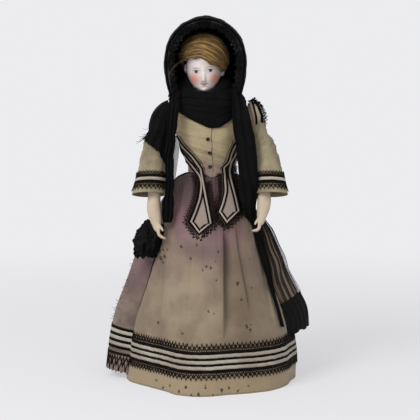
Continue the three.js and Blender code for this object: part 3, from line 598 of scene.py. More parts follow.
def tube_surface(path: Array, radius: Value) -> Surface:
    """A tube round a path of points, whose radius may vary along it.

    Args:
        path: its middle line.
        radius: one radius, or one to a point.

    Returns:
        The tube.
    """
    steps = np.linspace(0, 1, len(path))
    radii = np.broadcast_to(radius, len(path))

    def surface(u: Array, v: Array) -> Array:
        """Points on the tube."""
        v = unit(v)
        def at(share: Array) -> Array:
            """The path's middle line."""
            return np.stack([np.interp(share, steps, path[:, i]) for i in range(3)], axis=-1)
        ahead = at(unit(v + 0.02)) - at(unit(v - 0.02))
        ahead /= np.maximum(np.linalg.norm(ahead, axis=-1, keepdims=True), 1e-9)
        aside = np.cross(ahead, vec(0.31, 0.83, 0.47))
        aside /= np.linalg.norm(aside, axis=-1, keepdims=True)
        other = np.cross(ahead, aside)
        turn = FULL * u[..., None]
        out = np.interp(v, steps, radii)[..., None]
        return at(v) + out * (aside * np.cos(turn) + other * np.sin(turn))

    return surface


def add_thread(bm: BMesh, path: Array, radius: Value, sides: int = 3) -> None:
    """Adds a tube along a path to a mesh."""
    ring_mesh(tube_surface(path, radius), sides, len(path) - 1, bm)


def smooth_path(points: list, count: int) -> Array:
    """Points spaced along a smooth curve through a few given ones."""
    knots = np.array(points, float)
    places = np.r_[0, np.cumsum(np.linalg.norm(np.diff(knots, axis=0), axis=1))]
    at = np.linspace(0, places[-1], count)
    return np.stack([through(dict(zip(places, knots[:, i])))(at) for i in range(3)], axis=-1)


class Hold(Enum):
    """How a sheet of cloth is held."""
    DRAPED = "draped"
    HUNG = "hung"
    GATHERED = "gathered"


@dataclass
class Piece:
    """How a mesh becomes a finished piece. It also keeps how a sheet is held and what on, and how full a stuffed one
    is, though nothing passes these on.
    """
    name: str
    finish: Finish
    body: str = "root"
    node: str = ""
    thick: float = 0
    offset: float = 1
    size: Pair = (50, 50)
    mirrored: bool = False
    span: tuple[Array, Array] | None = None
    held: tuple[Hold | str, ...] = ()
    fill: float = 0

    def sheet(self, surface: Surface, across: int, along: int) -> None:
        """Makes the piece from an open grid."""
        self.make(sheet_mesh(surface, across, along))

    def ring(self, surface: Surface, across: int, along: int) -> None:
        """Makes the piece from a grid that closes on itself."""
        self.make(ring_mesh(surface, across, along))

    def make(self, bm: BMesh) -> bpy.types.Object:
        """Turns the mesh into an object, which rides on its body unless a span is given.

        Args:
            bm: the mesh, in the row frame.

        Returns:
            The object.
        """
        if self.mirrored:
            bmesh.ops.reverse_faces(bm, faces=bm.faces[:])
        mesh = bpy.data.meshes.new(self.name)
        bm.to_mesh(mesh)
        bm.free()
        mesh.shade_smooth()
        for layer in mesh.uv_layers:
            flat = np.zeros(len(mesh.loops) * 2, np.float32)
            layer.uv.foreach_get("vector", flat)
            layer.uv.foreach_set("vector", flat * np.tile(np.array(self.size) * MM, len(mesh.loops)))
        mesh.materials.append(self.finish.material())
        obj = bpy.data.objects.new(self.name, mesh)
        bpy.context.scene.collection.objects.link(obj)
        if self.thick:
            wall = obj.modifiers.new("thickness", "SOLIDIFY")
            wall.thickness, wall.offset = self.thick * MM, self.offset
        if self.span is None:
            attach(obj, self.body)
        else:
            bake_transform(obj)
        if self.node:
            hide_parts(self.node)
        if self.held:
            self.declare(obj)
        log.info("%s: %d faces on %s", self.name, len(mesh.polygons), self.body)
        return obj

    def declare(self, obj: bpy.types.Object) -> None:
        """Args:
            obj: the piece's object.
        """
        least, lying = 0.012, 0.3
        area = sum(polygon.area for polygon in obj.data.polygons)
        low, high = (Vector(f(v.co[i] for v in obj.data.vertices) for i in range(3)) for f in (min, max))
        spread = high - low
        length = spread.y if spread.z < spread.y * lying else spread.z
        width = max(area / max(length, least), least)
        length = max(area / width, least)


@dataclass(frozen=True)
class LaceEdge:
    """A lace edging: one repeat is drawn flat, doubled along the band and laid on a surface."""
    pitch: float
    strand: float = 0.17
    footing: float = 0.86

    def repeat(self) -> BMesh:
        """Draws one repeat in a unit square, its points at 0 and its footing at 1.

        Returns:
            The flat mesh.
        """
        bm = bmesh.new()
        bm.loops.layers.uv.verify()

        def strip(squares: int, low: Callable[[float], float], high: float) -> None:
            """Adds a strip of thread whose lower edge follows a line."""
            made = bmesh.ops.create_grid(bm, x_segments=squares, y_segments=1, size=0.5, calc_uvs=True)["verts"]
            for vert in made:
                along, up = vert.co.x + 0.5, vert.co.y + 0.5
                vert.co = (along, low(along) + high * up, 0)

        strip(2, lambda x: self.footing, 1 - self.footing)
        strip(2, lambda x: (self.footing - self.strand) * abs(2 * x - 1), self.strand)
        strip(2, lambda x: 0.28 + (self.footing - 0.28 - self.strand) * (1 - abs(2 * x - 1)), self.strand)
        self.knot(bm, 0.5, 0.08, 0.13)
        self.knot(bm, 0, 0.36, 0.16)
        return bm

    def knot(self, bm: BMesh, x: float, y: float, radius: float) -> None:
        """Adds a filled knot to the repeat."""
        edge = bmesh.ops.create_circle(bm, cap_ends=True, segments=4, radius=radius)["verts"]
        bmesh.ops.translate(bm, verts=edge, vec=(x, y, 0))

    def band(self, surface: Surface, length: float) -> BMesh:
        """Lays repeats along a band.

        Args:
            surface: the band, u along it and v from its points to its footing.
            length: the band's length in millimetres.

        Returns:
            The mesh, in the row frame.
        """
        count = max(int(length / self.pitch), 2)
        bm = self.repeat()
        geometry = bm.verts[:] + bm.edges[:] + bm.faces[:]
        bmesh.ops.spin(bm, geom=geometry, cent=(0, 0, 0), axis=(0, 0, 1), dvec=(1, 0, 0), angle=0,
                       steps=count - 1, use_duplicate=True)
        bmesh.ops.remove_doubles(bm, verts=bm.verts[:], dist=1e-4)
        flat = np.array([vert.co[:2] for vert in bm.verts])
        settle(bm.verts, surface(unit(flat[:, 0] / count), flat[:, 1]))
        bmesh.ops.recalc_face_normals(bm, faces=bm.faces[:])
        return bm


FACE_TILT = -0.04
CHIN_LEVEL = 334
HEAD_SWAY = -2


def on_face(aside: float, z: float) -> Pair:
    """A place on the face by its distance from the middle line, which leans a little."""
    return HEAD_SWAY + FACE_TILT * (z - CHIN_LEVEL) + aside, z


EYE_ASIDE = 8.2
EYE_LEVELS = {-1: 356.4, 1: 358}


def eye_paint(side: int, iris: Colour) -> tuple[Oval, ...]:
    """The painted eye and brow of one side.

    Args:
        side: -1 for the doll's right, 1 for its left.
        iris: the iris's colour.

    Returns:
        The ovals, from the lowest layer to the top one.
    """
    level = EYE_LEVELS[side]
    middle = on_face(side * EYE_ASIDE, level)
    lash = on_face(side * (EYE_ASIDE + 0.2), level + 1.3)
    lid = on_face(side * EYE_ASIDE, level - 1.5)
    brow = on_face(side * (EYE_ASIDE + 0.2), level + 4.2)
    return (
        Oval(middle, (5.2, 3.4), (184, 166, 174), 0.4, 0.8), Oval(middle, (3, 1.45), (206, 200, 202), 0.9, 0.4),
        Oval(middle, (1.9, 1.7), iris, 1, 0.3), Oval(middle, (1, 1), (10, 10, 14), 1, 0.3),
        Oval(lid, (2.6, 0.3), (138, 112, 110), 0.7, 0.5), Oval(lash, (3.4, 0.52), (52, 38, 36), 0.9, 0.5, side * -2),
        Oval(brow, (3.9, 0.4), (112, 92, 80), 0.7, 0.6, side * 1))


LIP = (160, 78, 72)
CHEEK = (203, 115, 95)

FACE_PAINT = (
    *eye_paint(-1, (52, 60, 66)), *eye_paint(1, (52, 54, 104)),
    Oval(on_face(-10.4, 347.8), (6.4, 5.4), CHEEK, 0.72, 0.8),
    Oval(on_face(12.6, 348.6), (6.2, 5.4), CHEEK, 0.72, 0.8),
    Oval(on_face(-1.7, 342.9), (2.5, 0.7), LIP, 0.8, 0.5, 8), Oval(on_face(1.9, 343), (2.5, 0.7), LIP, 0.8, 0.5, -8),
    Oval(on_face(0.1, 341.2), (2.6, 0.8), LIP, 0.7, 0.5),
    Oval(on_face(-2.1, 342.5), (2.5, 0.34), (92, 46, 42), 0.95, 0.5, 11),
    Oval(on_face(2.3, 342.6), (2.5, 0.34), (92, 46, 42), 0.95, 0.5, -11),
    Oval(on_face(-1.5, 345.6), (0.6, 0.4), (140, 76, 68), 0.85, 0.5),
    Oval(on_face(1.5, 345.6), (0.6, 0.4), (140, 76, 68), 0.85, 0.5),
    # Painted shade down the far side of the nose.
    Oval(on_face(2.4, 349), (1, 3.6), (186, 166, 160), 0.4, 0.8, -6))

SKIRT_SPOTS = (
    (-51, 152, 1), (-47, 155, 0.9), (-50, 145, 1.9), (-45, 148, 1.5), (-47, 141, 1.2), (-42, 156, 0.8),
    (-15, 150, 1.2), (3, 142, 1.1), (8, 141, 1.5), (-2, 138, 1), (38, 122, 1.8), (42, 105, 1), (5, 95, 1.1),
    (11, 92, 1), (-52, 76, 1.4), (-24, 70, 1.2), (48, 76, 1.6), (52, 72, 1.5), (-20, 58, 1.1), (20, 8, 1.5),
    (28, 10, 1.4), (-6, 5, 1.5), (-14, 4, 1.2), (-38, 10, 1), (-54, 12, 1.1), (-46, 6, 1.2), (-28, 7, 1.3),
    (2, 12, 1), (10, 4, 1.2), (38, 6, 1.2), (50, 11, 1), (-20, 12, 1.4), (-60, 148, 1.1), (14, 128, 1),
    (-26, 162, 1.3), (16, 158, 1.2), (-8, 166, 1.4))

# Ovals laid over the skirt silk. SHADED ones are painted shade: beside the main fold, toward the skirt's right side
# and along its left edge by the overskirt. PLUM_SHADE ones are painted shade in a plum tone: near the waist under the
# jacket, tabs and arms, below the right tab's point and beside the main fold. ROSE ones are rose stains.
SHADED, PLUM_SHADE, ROSE = (96, 79, 65), (70, 50, 54), (138, 98, 108)
SKIRT_STAINS_AND_SHADE = (
    Oval((40, 118), (20, 62), SHADED, 0.6, 0.9), Oval((62, 70), (26, 40), SHADED, 0.35, 0.9),
    Oval((-34, 206), (10, 26), PLUM_SHADE, 0.8, 0.9), Oval((36, 214), (12, 30), PLUM_SHADE, 0.85, 0.9),
    Oval((8, 200), (16, 24), PLUM_SHADE, 0.7, 0.9), Oval((-31, 190), (7, 16), ROSE, 0.6, 0.9),
    Oval((30, 172), (12, 10), ROSE, 0.5, 0.9), Oval((-10, 158), (22, 8), PLUM_SHADE, 0.35, 0.9),
    Oval((22, 150), (5, 26), PLUM_SHADE, 0.4, 0.9), Oval((-52, 120), (6, 40), SHADED, 0.3, 0.9))

FACE = Bisque("painted bisque", Slot.BISQUE, ovals=FACE_PAINT)
CREAM = (196, 180, 158), (186, 168, 143)
BISQUE = Bisque("plain bisque", Slot.BISQUE, *CREAM)
BOOT = Bisque("bisque leg and boot", Slot.BISQUE, *CREAM, boot_top=46)
# The skirt's deep band is painted shade: the silk darkens up toward the waist, where the jacket, tabs and arms shade
# it. Its SHADED and PLUM_SHADE ovals are painted shade too.
SKIRT_SILK = DressSilk(
    "faded skirt silk with painted shade", Slot.DRESS, (150, 134, 113), (124, 109, 91), dyed=(105, 200), dye_share=0.95,
    deep=(182, 230), hem_top=18.5, spots=SKIRT_SPOTS, stains_and_shade=SKIRT_STAINS_AND_SHADE)
TRAIN_SILK = DressSilk(
    "mauve overskirt silk", Slot.DRESS, (130, 114, 101), (94, 79, 72), dyed=(60, 190), dye_share=0.8, speckle=1)
# A darker copy of the brown dress silk for the overskirt's fold behind the net; its darkness is painted shade.
SHADED_FOLD_SILK = DressSilk("shaded overskirt silk", Slot.DRESS, (122, 106, 88), (96, 82, 68), speckle=0.6)
JACKET_SILK = DressSilk(
    "jacket silk", Slot.DRESS, (168, 152, 121), (136, 121, 94), speckle=0.25, dyed=(264, 244), dye_share=0.9)
SLEEVE_SILK = DressSilk("sleeve silk", Slot.DRESS, (158, 146, 119), (122, 111, 89), speckle=0.2)
TAB_SILK = DressSilk(
    "tab silk", Slot.DRESS, (168, 152, 121), (136, 121, 94), deep=(264, 244), shade_and_tone_colour=(146, 130, 124), speckle=0.1)
TAB_RIBBON = DressSilk("tab ribbon", Slot.DRESS, (168, 156, 145), (140, 128, 118), speckle=0.3, pitch=0.0004)
EPAULETTE_SILK = DressSilk("epaulette silk", Slot.DRESS, (176, 166, 146), (148, 136, 116), speckle=0.1)
PALE_RIBBON = DressSilk("pale silk ribbon", Slot.DRESS, (180, 173, 158), (150, 141, 126), speckle=0.4, pitch=0.0004)
PIPING = DressSilk("piping silk", Slot.DRESS, (76, 60, 44), (50, 38, 28), speckle=0)
VELVET = BlackCloth("velvet ribbon", Slot.VELVET, (13, 10, 9), (28, 22, 20), 0.4, 0.95)
LACE = BlackCloth("black lace", Slot.LACE, (18, 13, 11), (42, 32, 25), 0.8, 0.9, pitch=0.0003)
SCARF = BlackCloth("scarf silk", Slot.SCARF, (9, 9, 9), (20, 19, 19), 0.6, 0.85)
HOOD_LACE = BlackCloth("hood lace", Slot.LACE, (14, 14, 14), (66, 64, 66), 0.8, 0.8, pitch=0.0003)
NET = BlackCloth("black net", Slot.NET, (16, 15, 14), (40, 37, 33), 0.6, 0.85, pitch=0.0003)
SATIN = BlackCloth("black satin border", Slot.SCARF, (12, 11, 12), (28, 25, 28), 0.6, 0.6)
MUSLIN = Fibre("stuffing muslin", Slot.MUSLIN)
THREAD = Fibre("binding thread", Slot.THREAD, (196, 182, 152), (140, 124, 96), (40, 4000))
HAIR = Fibre("combed mohair", Slot.MOHAIR, (168, 132, 75), (70, 50, 22), (900, 22), 0.6, 0.0005)
CORK = Grain("cut cork", Slot.CORK)
HORN = Grain("dark horn", Slot.HORN, (46, 26, 16), (22, 12, 8), 700, 0.35)


@dataclass
class Figure:
    """The stuffed body's line, which the clothes follow."""
    hip: float = 176
    waist: float = 244
    bust: float = 274
    shoulder: float = 312
    pivot: float = 305
    chin: float = CHIN_LEVEL
    crown: float = 395
    thigh: float = 13
    plate_lift: float = 4
    bodice_lift: float = 5.4
    sway: Callable = field(init=False)
    half_width: Callable = field(init=False)
    half_depth: Callable = field(init=False)

    def __post_init__(self) -> None:
        """Fits the body's curves through its stations."""
        bottom, self.top = self.hip + self.thigh + 0.4, self.shoulder + 13
        self.sway = through({self.hip: HIP_SWAY, self.waist: 7, self.shoulder: 4, self.chin: HEAD_SWAY})
        self.half_width = through({
            bottom: 26.4, self.hip + 30: 33, self.waist: 21.5, self.bust: 29.5, self.pivot: 40, self.shoulder: 39,
            self.top: 9.5})
        self.half_depth = through({
            bottom: 20, self.hip + 30: 25, self.waist: 17.5, self.bust: 22, self.shoulder: 17, self.top: 9.5})

    def point(self, u: Array, z: Array) -> Array:
        """A place on the body, by its share of a turn and its height."""
        turn = FULL * u
        return vec(self.sway(z) + self.half_width(z) * np.cos(turn), self.half_depth(z) * np.sin(turn), z)

    def lift(self, u: Array, z: Array, distance: Value) -> Array:
        """A place that stands off the body."""
        return lifted(self.point, distance)(u, z)


@dataclass
class ShoulderHead:
    """The bisque head, neck and shoulder plate, its cork and its wig."""
    figure: Figure
    half_width: float = 20.8
    face_depth: float = 27
    back_depth: float = 31
    neck: float = 12.5
    opening: float = 9
    plate_drop: float = 21
    plate_rise: float = 10

    def __post_init__(self) -> None:
        """Fits the head's outline by height, its jaw apart from the back of its head."""
        c, w, f, b, n = self.figure.chin, self.half_width, self.face_depth, self.back_depth, self.neck
        crown = self.figure.crown
        rim = crown - self.opening
        dome = {c + 30: 0.99 * w, c + 38: 0.98 * w, rim: 0.72 * w, crown - 3: 0.42 * w, crown: 0}
        self.width_at = through({c - 8: n, c + 1: n, c + 4.5: n + 0.4, c + 9.7: 16.4, c + 16: 18.9, c + 24: w, **dome})
        self.jaw_at = through({
            c - 8: n, c - 3: n - 1, c + 0.2: 6, c + 1.5: 8.5, c + 4.5: 12.9, c + 9.7: 16.6, c + 16: 19, c + 24: 20.4,
            **dome})
        self.face_at = through({
            c - 8: n, c - 3: n + 1, c + 1: 0.85 * f, c + 8: 0.93 * f, c + 14: 0.98 * f, c + 25: 0.97 * f, c + 37: f,
            rim: 0.7 * f, crown - 3: 0.36 * f, crown: 0})
        self.back_at = through({
            c - 8: n, c: n, c + 8: 0.58 * b, c + 18: 0.84 * b, c + 32: b, rim: 0.7 * b, crown - 3: 0.4 * b, crown: 0})

    def features(self, x: Array, z: Array) -> Array:
        """How far the face stands forward of its plain oval.

        Args:
            x: places across the face, from the head's middle.
            z: their heights.

        Returns:
            The relief, forwards.
        """
        x = x - FACE_TILT * (z - self.figure.chin)
        bridge = through({343.6: 0, 345.8: 0.72, 347.4: 1, 351: 0.66, 357: 0.26, 364: 0.05, 368: 0})
        # Each bump: how far it stands out, its height and half height, its place across and half width
        bumps = [(0.9, 342.9, 0.9, 0, 3.4), (1, 340.8, 1, 0, 2.9), (-0.7, 342, 0.4, 0, 3.6),
                 (-0.6, 338.6, 1.1, 0, 3.2), (1.4, 336, 2.4, 0, 4.6)]
        for side, level in EYE_LEVELS.items():
            eye = side * EYE_ASIDE
            bumps += [(-1.8, level, 3, eye - side * 0.6, 4.4), (1.1, level - 0.2, 1.7, eye, 2.9),
                      (0.6, level + 1.8, 0.6, eye, 3.4), (0.6, level + 5, 2, eye, 5),
                      (1, 348, 5, side * 10.5, 5.5), (0.8, 346, 1.3, side * 2.2, 1.2)]
        return 4.2 * bridge(z) * bump_at(x, 0, 2.5) + sum(
            out * bump_at(z, up, tall) * bump_at(x, aside, wide) for out, up, tall, aside, wide in bumps)

    def point(self, u: Array, z: Array) -> Array:
        """A place on the head.

        Args:
            u: shares of a turn.
            z: heights.

        Returns:
            The places.
        """
        turn = FULL * u
        side = np.sin(turn)
        x = lerp(self.jaw_at(z), self.width_at(z), rise(side, -0.55, -0.12)) * np.cos(turn)
        front = rise(-side, 0.1, 0.5)
        depth = np.where(side < 0, self.face_at(z), self.back_at(z))
        return vec(HEAD_SWAY + x, depth * side - front * self.features(x, z), z)

    def shell(self, u: Array, v: Array) -> Array:
        """The whole shell, from the plate's edge up to the crown's opening.

        Args:
            u: shares of a turn.
            v: shares of the way up.

        Returns:
            The places.
        """
        plate_share, neck_share, gather = 0.22, 0.05, 0.55
        u = u + gather * sine(u - 0.25) / FULL
        start, plate_top = self.figure.chin - 8, self.figure.shoulder + self.plate_rise
        edge = self.figure.shoulder + 2 - self.plate_drop * sine(u) ** 2
        plate = self.figure.lift(u, lerp(edge, plate_top, unit(v / plate_share)), self.figure.plate_lift)
        share = unit((v - plate_share) / (1 - plate_share))
        head = self.point(u, lerp(start, self.figure.crown - self.opening, share))
        bottom = self.figure.lift(u, plate_top + 0 * u, self.figure.plate_lift)
        neck = lerp(bottom, self.point(u, start + 0 * u), rise(share, 0, neck_share)[..., None])
        return np.where((v <= plate_share)[..., None], plate, np.where((share < neck_share)[..., None], neck, head))

    def ear(self, side: int) -> Surface:
        """One ear, a shell with a hollow.

        Args:
            side: -1 for the doll's right, 1 for its left.

        Returns:
            The ear's surface.
        """
        level = 358.5 - 1.5 * side

        def surface(u: Array, v: Array) -> Array:
            """Points of the ear."""
            tilt = math.pi * (unit(v) - 0.5)
            across, up = np.cos(tilt) * cosine(u), np.sin(tilt)
            out = np.cos(tilt) * sine(u)
            hollow = 0.9 * bump_at(across, 0.1, 0.5) * bump_at(up, 0.15, 0.5) * (out > 0)
            x = HEAD_SWAY + side * (20.6 - 0.9 * side + 1.9 * out - hollow)
            return vec(x, 3.4 * across + 1 + 0.8 * up, level + 5.4 * up)

        return surface

    def build(self) -> None:
        """Makes the bisque, its cork and its hair."""
        bm = ring_mesh(self.shell, 190, 150)
        for side in (-1, 1):
            ring_mesh(self.ear(side), 20, 14, into=bm)
        Piece("bisque_shoulder_head", FACE, node="shoulder_head", thick=2.2, offset=-1).make(bm)
        self.build_cork()
        Wig(self).build()

    def build_cork(self) -> None:
        """Makes the cork that closes the crown."""
        rim = self.figure.crown - self.opening

        def plug(u: Array, v: Array) -> Array:
            """The cork's side and domed top."""
            z = lerp(rim + 0.4, self.figure.crown - 0.4, unit((v - 0.3) / 0.6))
            side = v < 0.3
            ring = self.point(u, np.where(side, rim, z)) * np.where(side, 0.84, 1)[..., None]
            middle = vec(HEAD_SWAY, 0, 0)
            shrink = unit(rise(v, 0, 0.02) - rise(v, 0.9, 1))
            level = np.where(side, lerp(rim - 3, rim + 0.4, v / 0.3), z)
            return middle + (ring * vec(1, 1, 0) - middle) * shrink[..., None] + vec(0, 0, level)

        Piece("crown_cork", CORK, node="cork_pate").ring(plug, 48, 40)


@dataclass
class Wig:
    """Mohair, parted in the middle and combed down to each side."""
    head: ShoulderHead
    radii: Triple = (27.6, 31.6, 33.2)
    middle: Triple = (-2.6, 2.4, 366.6)
    locks: int = 320

    def lock(self, side: int, start: Array, along: Array, lift: Value = 0) -> Array:
        """A place along a lock of hair.

        Args:
            side: -1 for the doll's right, 1 for its left.
            start: where it leaves the parting, 0 at the forehead and 1 at the nape.
            along: how far along it, from 0 to 1.
            lift: how far it stands off.

        Returns:
            The places.
        """
        parting = np.radians(lerp(9, 178, start))
        top = vec(-0.06 - side * 0.03, -np.cos(parting), np.sin(parting))
        low = -0.3 if side > 0 else 0.13
        turn = np.radians(lerp(58, 172, start ** 0.8))
        drop = lerp(low, -0.62, rise(start, 0.1, 0.6))
        level = np.sqrt(1 - drop**2)
        end = vec(side * np.sin(turn) * level, -np.cos(turn) * level, drop)
        angle = np.arccos(np.clip((top * end).sum(-1), -1, 1))
        way = (np.sin((1 - along) * angle)[..., None] * top + np.sin(along * angle)[..., None] * end)
        way /= np.maximum(np.linalg.norm(way, axis=-1, keepdims=True), 1e-9)
        puff = 1 + 0.05 * np.sin(math.pi * unit(along * 1.1)) - 0.07 * rise(along, 0.75, 1)
        furrow = -0.4 * np.exp(-along / 0.05)
        strands = 0.9 * wobble(start * 27 + along * 0.6, 1) + 0.6 * wobble(start * 71 - along * 0.9, 2)
        off = (strands + furrow + lift)[..., None]
        return np.array(self.middle) + way * np.array(self.radii) * puff[..., None] + way * off

    def build(self) -> None:
        """Makes the combed mass, its loose strands and one stray wisp."""
        bm = bmesh.new()
        for side in (-1, 1):
            before = set(bm.faces)
            sheet_mesh(lambda u, v: self.lock(side, u, v), 150, 60, bm)
            if side > 0:
                bmesh.ops.reverse_faces(bm, faces=[face for face in bm.faces if face not in before])
        Piece("mohair_wig", HAIR, node="wig", thick=2.4, offset=-1, size=(60, 60)).make(bm)
        rng = np.random.default_rng(7)
        strands = bmesh.new()
        for _ in range(self.locks):
            side, start = rng.choice((-1, 1)), rng.uniform(0, 0.98)
            first, last = sorted(rng.uniform(0.02, 1, 2))
            if last - first < 0.2:
                continue
            along = np.linspace(first, last, 12)
            sway = start + 0.01 * wobble(along, rng.uniform(0, 9))
            lift = 0.1 + 0.9 * np.sin(math.pi * np.linspace(0, 1, 12)) * rng.uniform(0.2, 1)
            add_thread(strands, self.lock(side, unit(sway), along, lift), 0.24)
        stray = smooth_path([(-22, -22, 370), (-29, -29, 367), (-36, -33, 361), (-42, -34, 353)], 14)
        for shift in (0, 1.2, 2.2):
            add_thread(strands, stray + vec(0, shift, shift * 0.8), np.linspace(0.1, 0.05, 14))
        Piece("mohair_strands", HAIR, size=(4, 40)).make(strands)


@dataclass
class StuffedBody:
    """Cloth torso, thighs and booted lower legs under the clothes."""
    figure: Figure
    leg_spacing: float = 32
    thigh_length: float = 88
    boot_length: float = 40
    boot_half_width: float = 8.5

    def build(self) -> None:
        """Makes the torso and both legs."""
        bottom, top = self.figure.hip + self.figure.thigh + 0.4, self.figure.top - 0.2

        def torso(u: Array, v: Array) -> Array:
            """The torso, closed at both ends, with side seams."""
            z = lerp(bottom, top, unit((v - 0.06) / 0.88))
            seam = 0.5 * (bump_at(u, 0, 0.012) + bump_at(u, 0.5, 0.012) + bump_at(u, 1, 0.012))
            points = self.figure.lift(u, z, -seam - 0.2)
            shrink = rise(v, 0, 0.06) * rise(v, 1, 0.94)
            middle = vec(self.figure.sway(z), 0, z)
            return middle + (points - middle) * np.stack([shrink, shrink, np.ones_like(shrink)], -1)

        Piece("stuffed_torso", MUSLIN, node="torso", size=(160, 130), fill=0.9).ring(torso, 96, 70)
        for side, mirror in SIDES.items():
            self.build_leg(side, mirror)

    def build_leg(self, side: str, mirror: int) -> None:
        """Makes one leg.

        Args:
            side: right or left.
            mirror: -1 for the right leg, 1 for the left.
        """
        hip, radius = self.figure.hip, self.figure.thigh
        x = self.figure.sway(np.array(hip)) + mirror * self.leg_spacing / 2
        knee, calf = hip - self.thigh_length, 0.64 * radius
        body = f"{side}_leg"
        girth = through({
            knee: 0.7 * radius, hip - 0.6 * self.thigh_length: 0.93 * radius, hip - 0.5 * radius: 0.9 * radius,
            hip: radius * 0.99})

        def thigh(u: Array, v: Array) -> Array:
            """The stuffed thigh with a rounded top and a seam behind."""
            z = lerp(knee, hip + radius * 0.96, v)
            ball = np.sqrt(unit(1 - ((z - hip) / radius) ** 2)) * radius
            r = np.where(z > hip, ball, girth(z)) * rise(v, -0.001, 0.03)
            r = r * (1 - 0.05 * bump_at(u, 0.25, 0.02) * rise(v, 0.98, 0.9))
            return vec(x + r * cosine(u), r * sine(u), z)

        Piece(f"{side}_stuffed_thigh", MUSLIN, body, f"{side}_thigh", size=(75, 90), fill=0.9).ring(thigh, 40, 50)
        heel = 0.3 * self.boot_length
        toe, w = self.boot_length - heel, self.boot_half_width
        wide = through({0: w, 4: w, 11: 0.9 * w, 22: 0.8 * w, 50: 1.1 * w, knee - 0.4: calf})
        ahead = through({
            0: toe - 0.6, 3: toe, 6: toe - 1.5, 11: 0.7 * toe, 22: 0.78 * heel, 50: 0.85 * heel, knee - 0.4: calf})
        behind = through({0: heel * 0.9, 5: heel, 11: 0.92 * heel, 22: 0.72 * heel, 50: 0.97 * heel, knee - 0.4: calf})

        def boot_leg(u: Array, v: Array) -> Array:
            """The bisque lower leg with its moulded, heeled boot."""
            z = lerp(0, knee - 0.4, unit((v - 0.03) / 0.94) ** 1.25)
            s, c = sine(u), cosine(u)
            taper = 1 - 0.35 * rise(-s, 0.2, 1) * rise(z, 24, 6)
            collar = 0.5 * bump_at(z, 46, 0.8) + 0.3 * bump_at(z, 4.6, 0.7)
            shrink = rise(v, -0.001, 0.03) * rise(v, 1.001, 0.97)
            out_x = (wide(z) * taper + collar) * c * shrink
            out_y = (np.where(s < 0, ahead(z), behind(z)) + collar) * s * shrink
            arch = 2.6 * bump_at(out_y, -2, 4) * rise(z, 5, 0)
            return vec(x + out_x, out_y, z + arch * shrink)

        Piece(f"{side}_booted_leg", BOOT, body, f"{side}_lower_leg").ring(boot_leg, 56, 70)
        binding = thread_winding(vec(x, 0, knee - 2.6), 0.74 * radius + 0.7, 6)
        Piece(f"{side}_leg_thread", THREAD, body, f"{side}_leg_binding", size=(6, 400)).make(binding)


def thread_winding(middle: Array, radius: float, height: float) -> BMesh:
    """Thread wound round a limb.

    Args:
        middle: the winding's middle.
        radius: its radius to the thread's middle.
        height: how far it runs along the limb.

    Returns:
        The thread, as one tube.
    """
    turns = 7
    at = np.linspace(0, 1, turns * 20)
    path = middle + vec(radius * cosine(turns * at), radius * sine(turns * at), (at - 0.5) * height)
    bm = bmesh.new()
    add_thread(bm, path, 0.5, 6)
    return bm


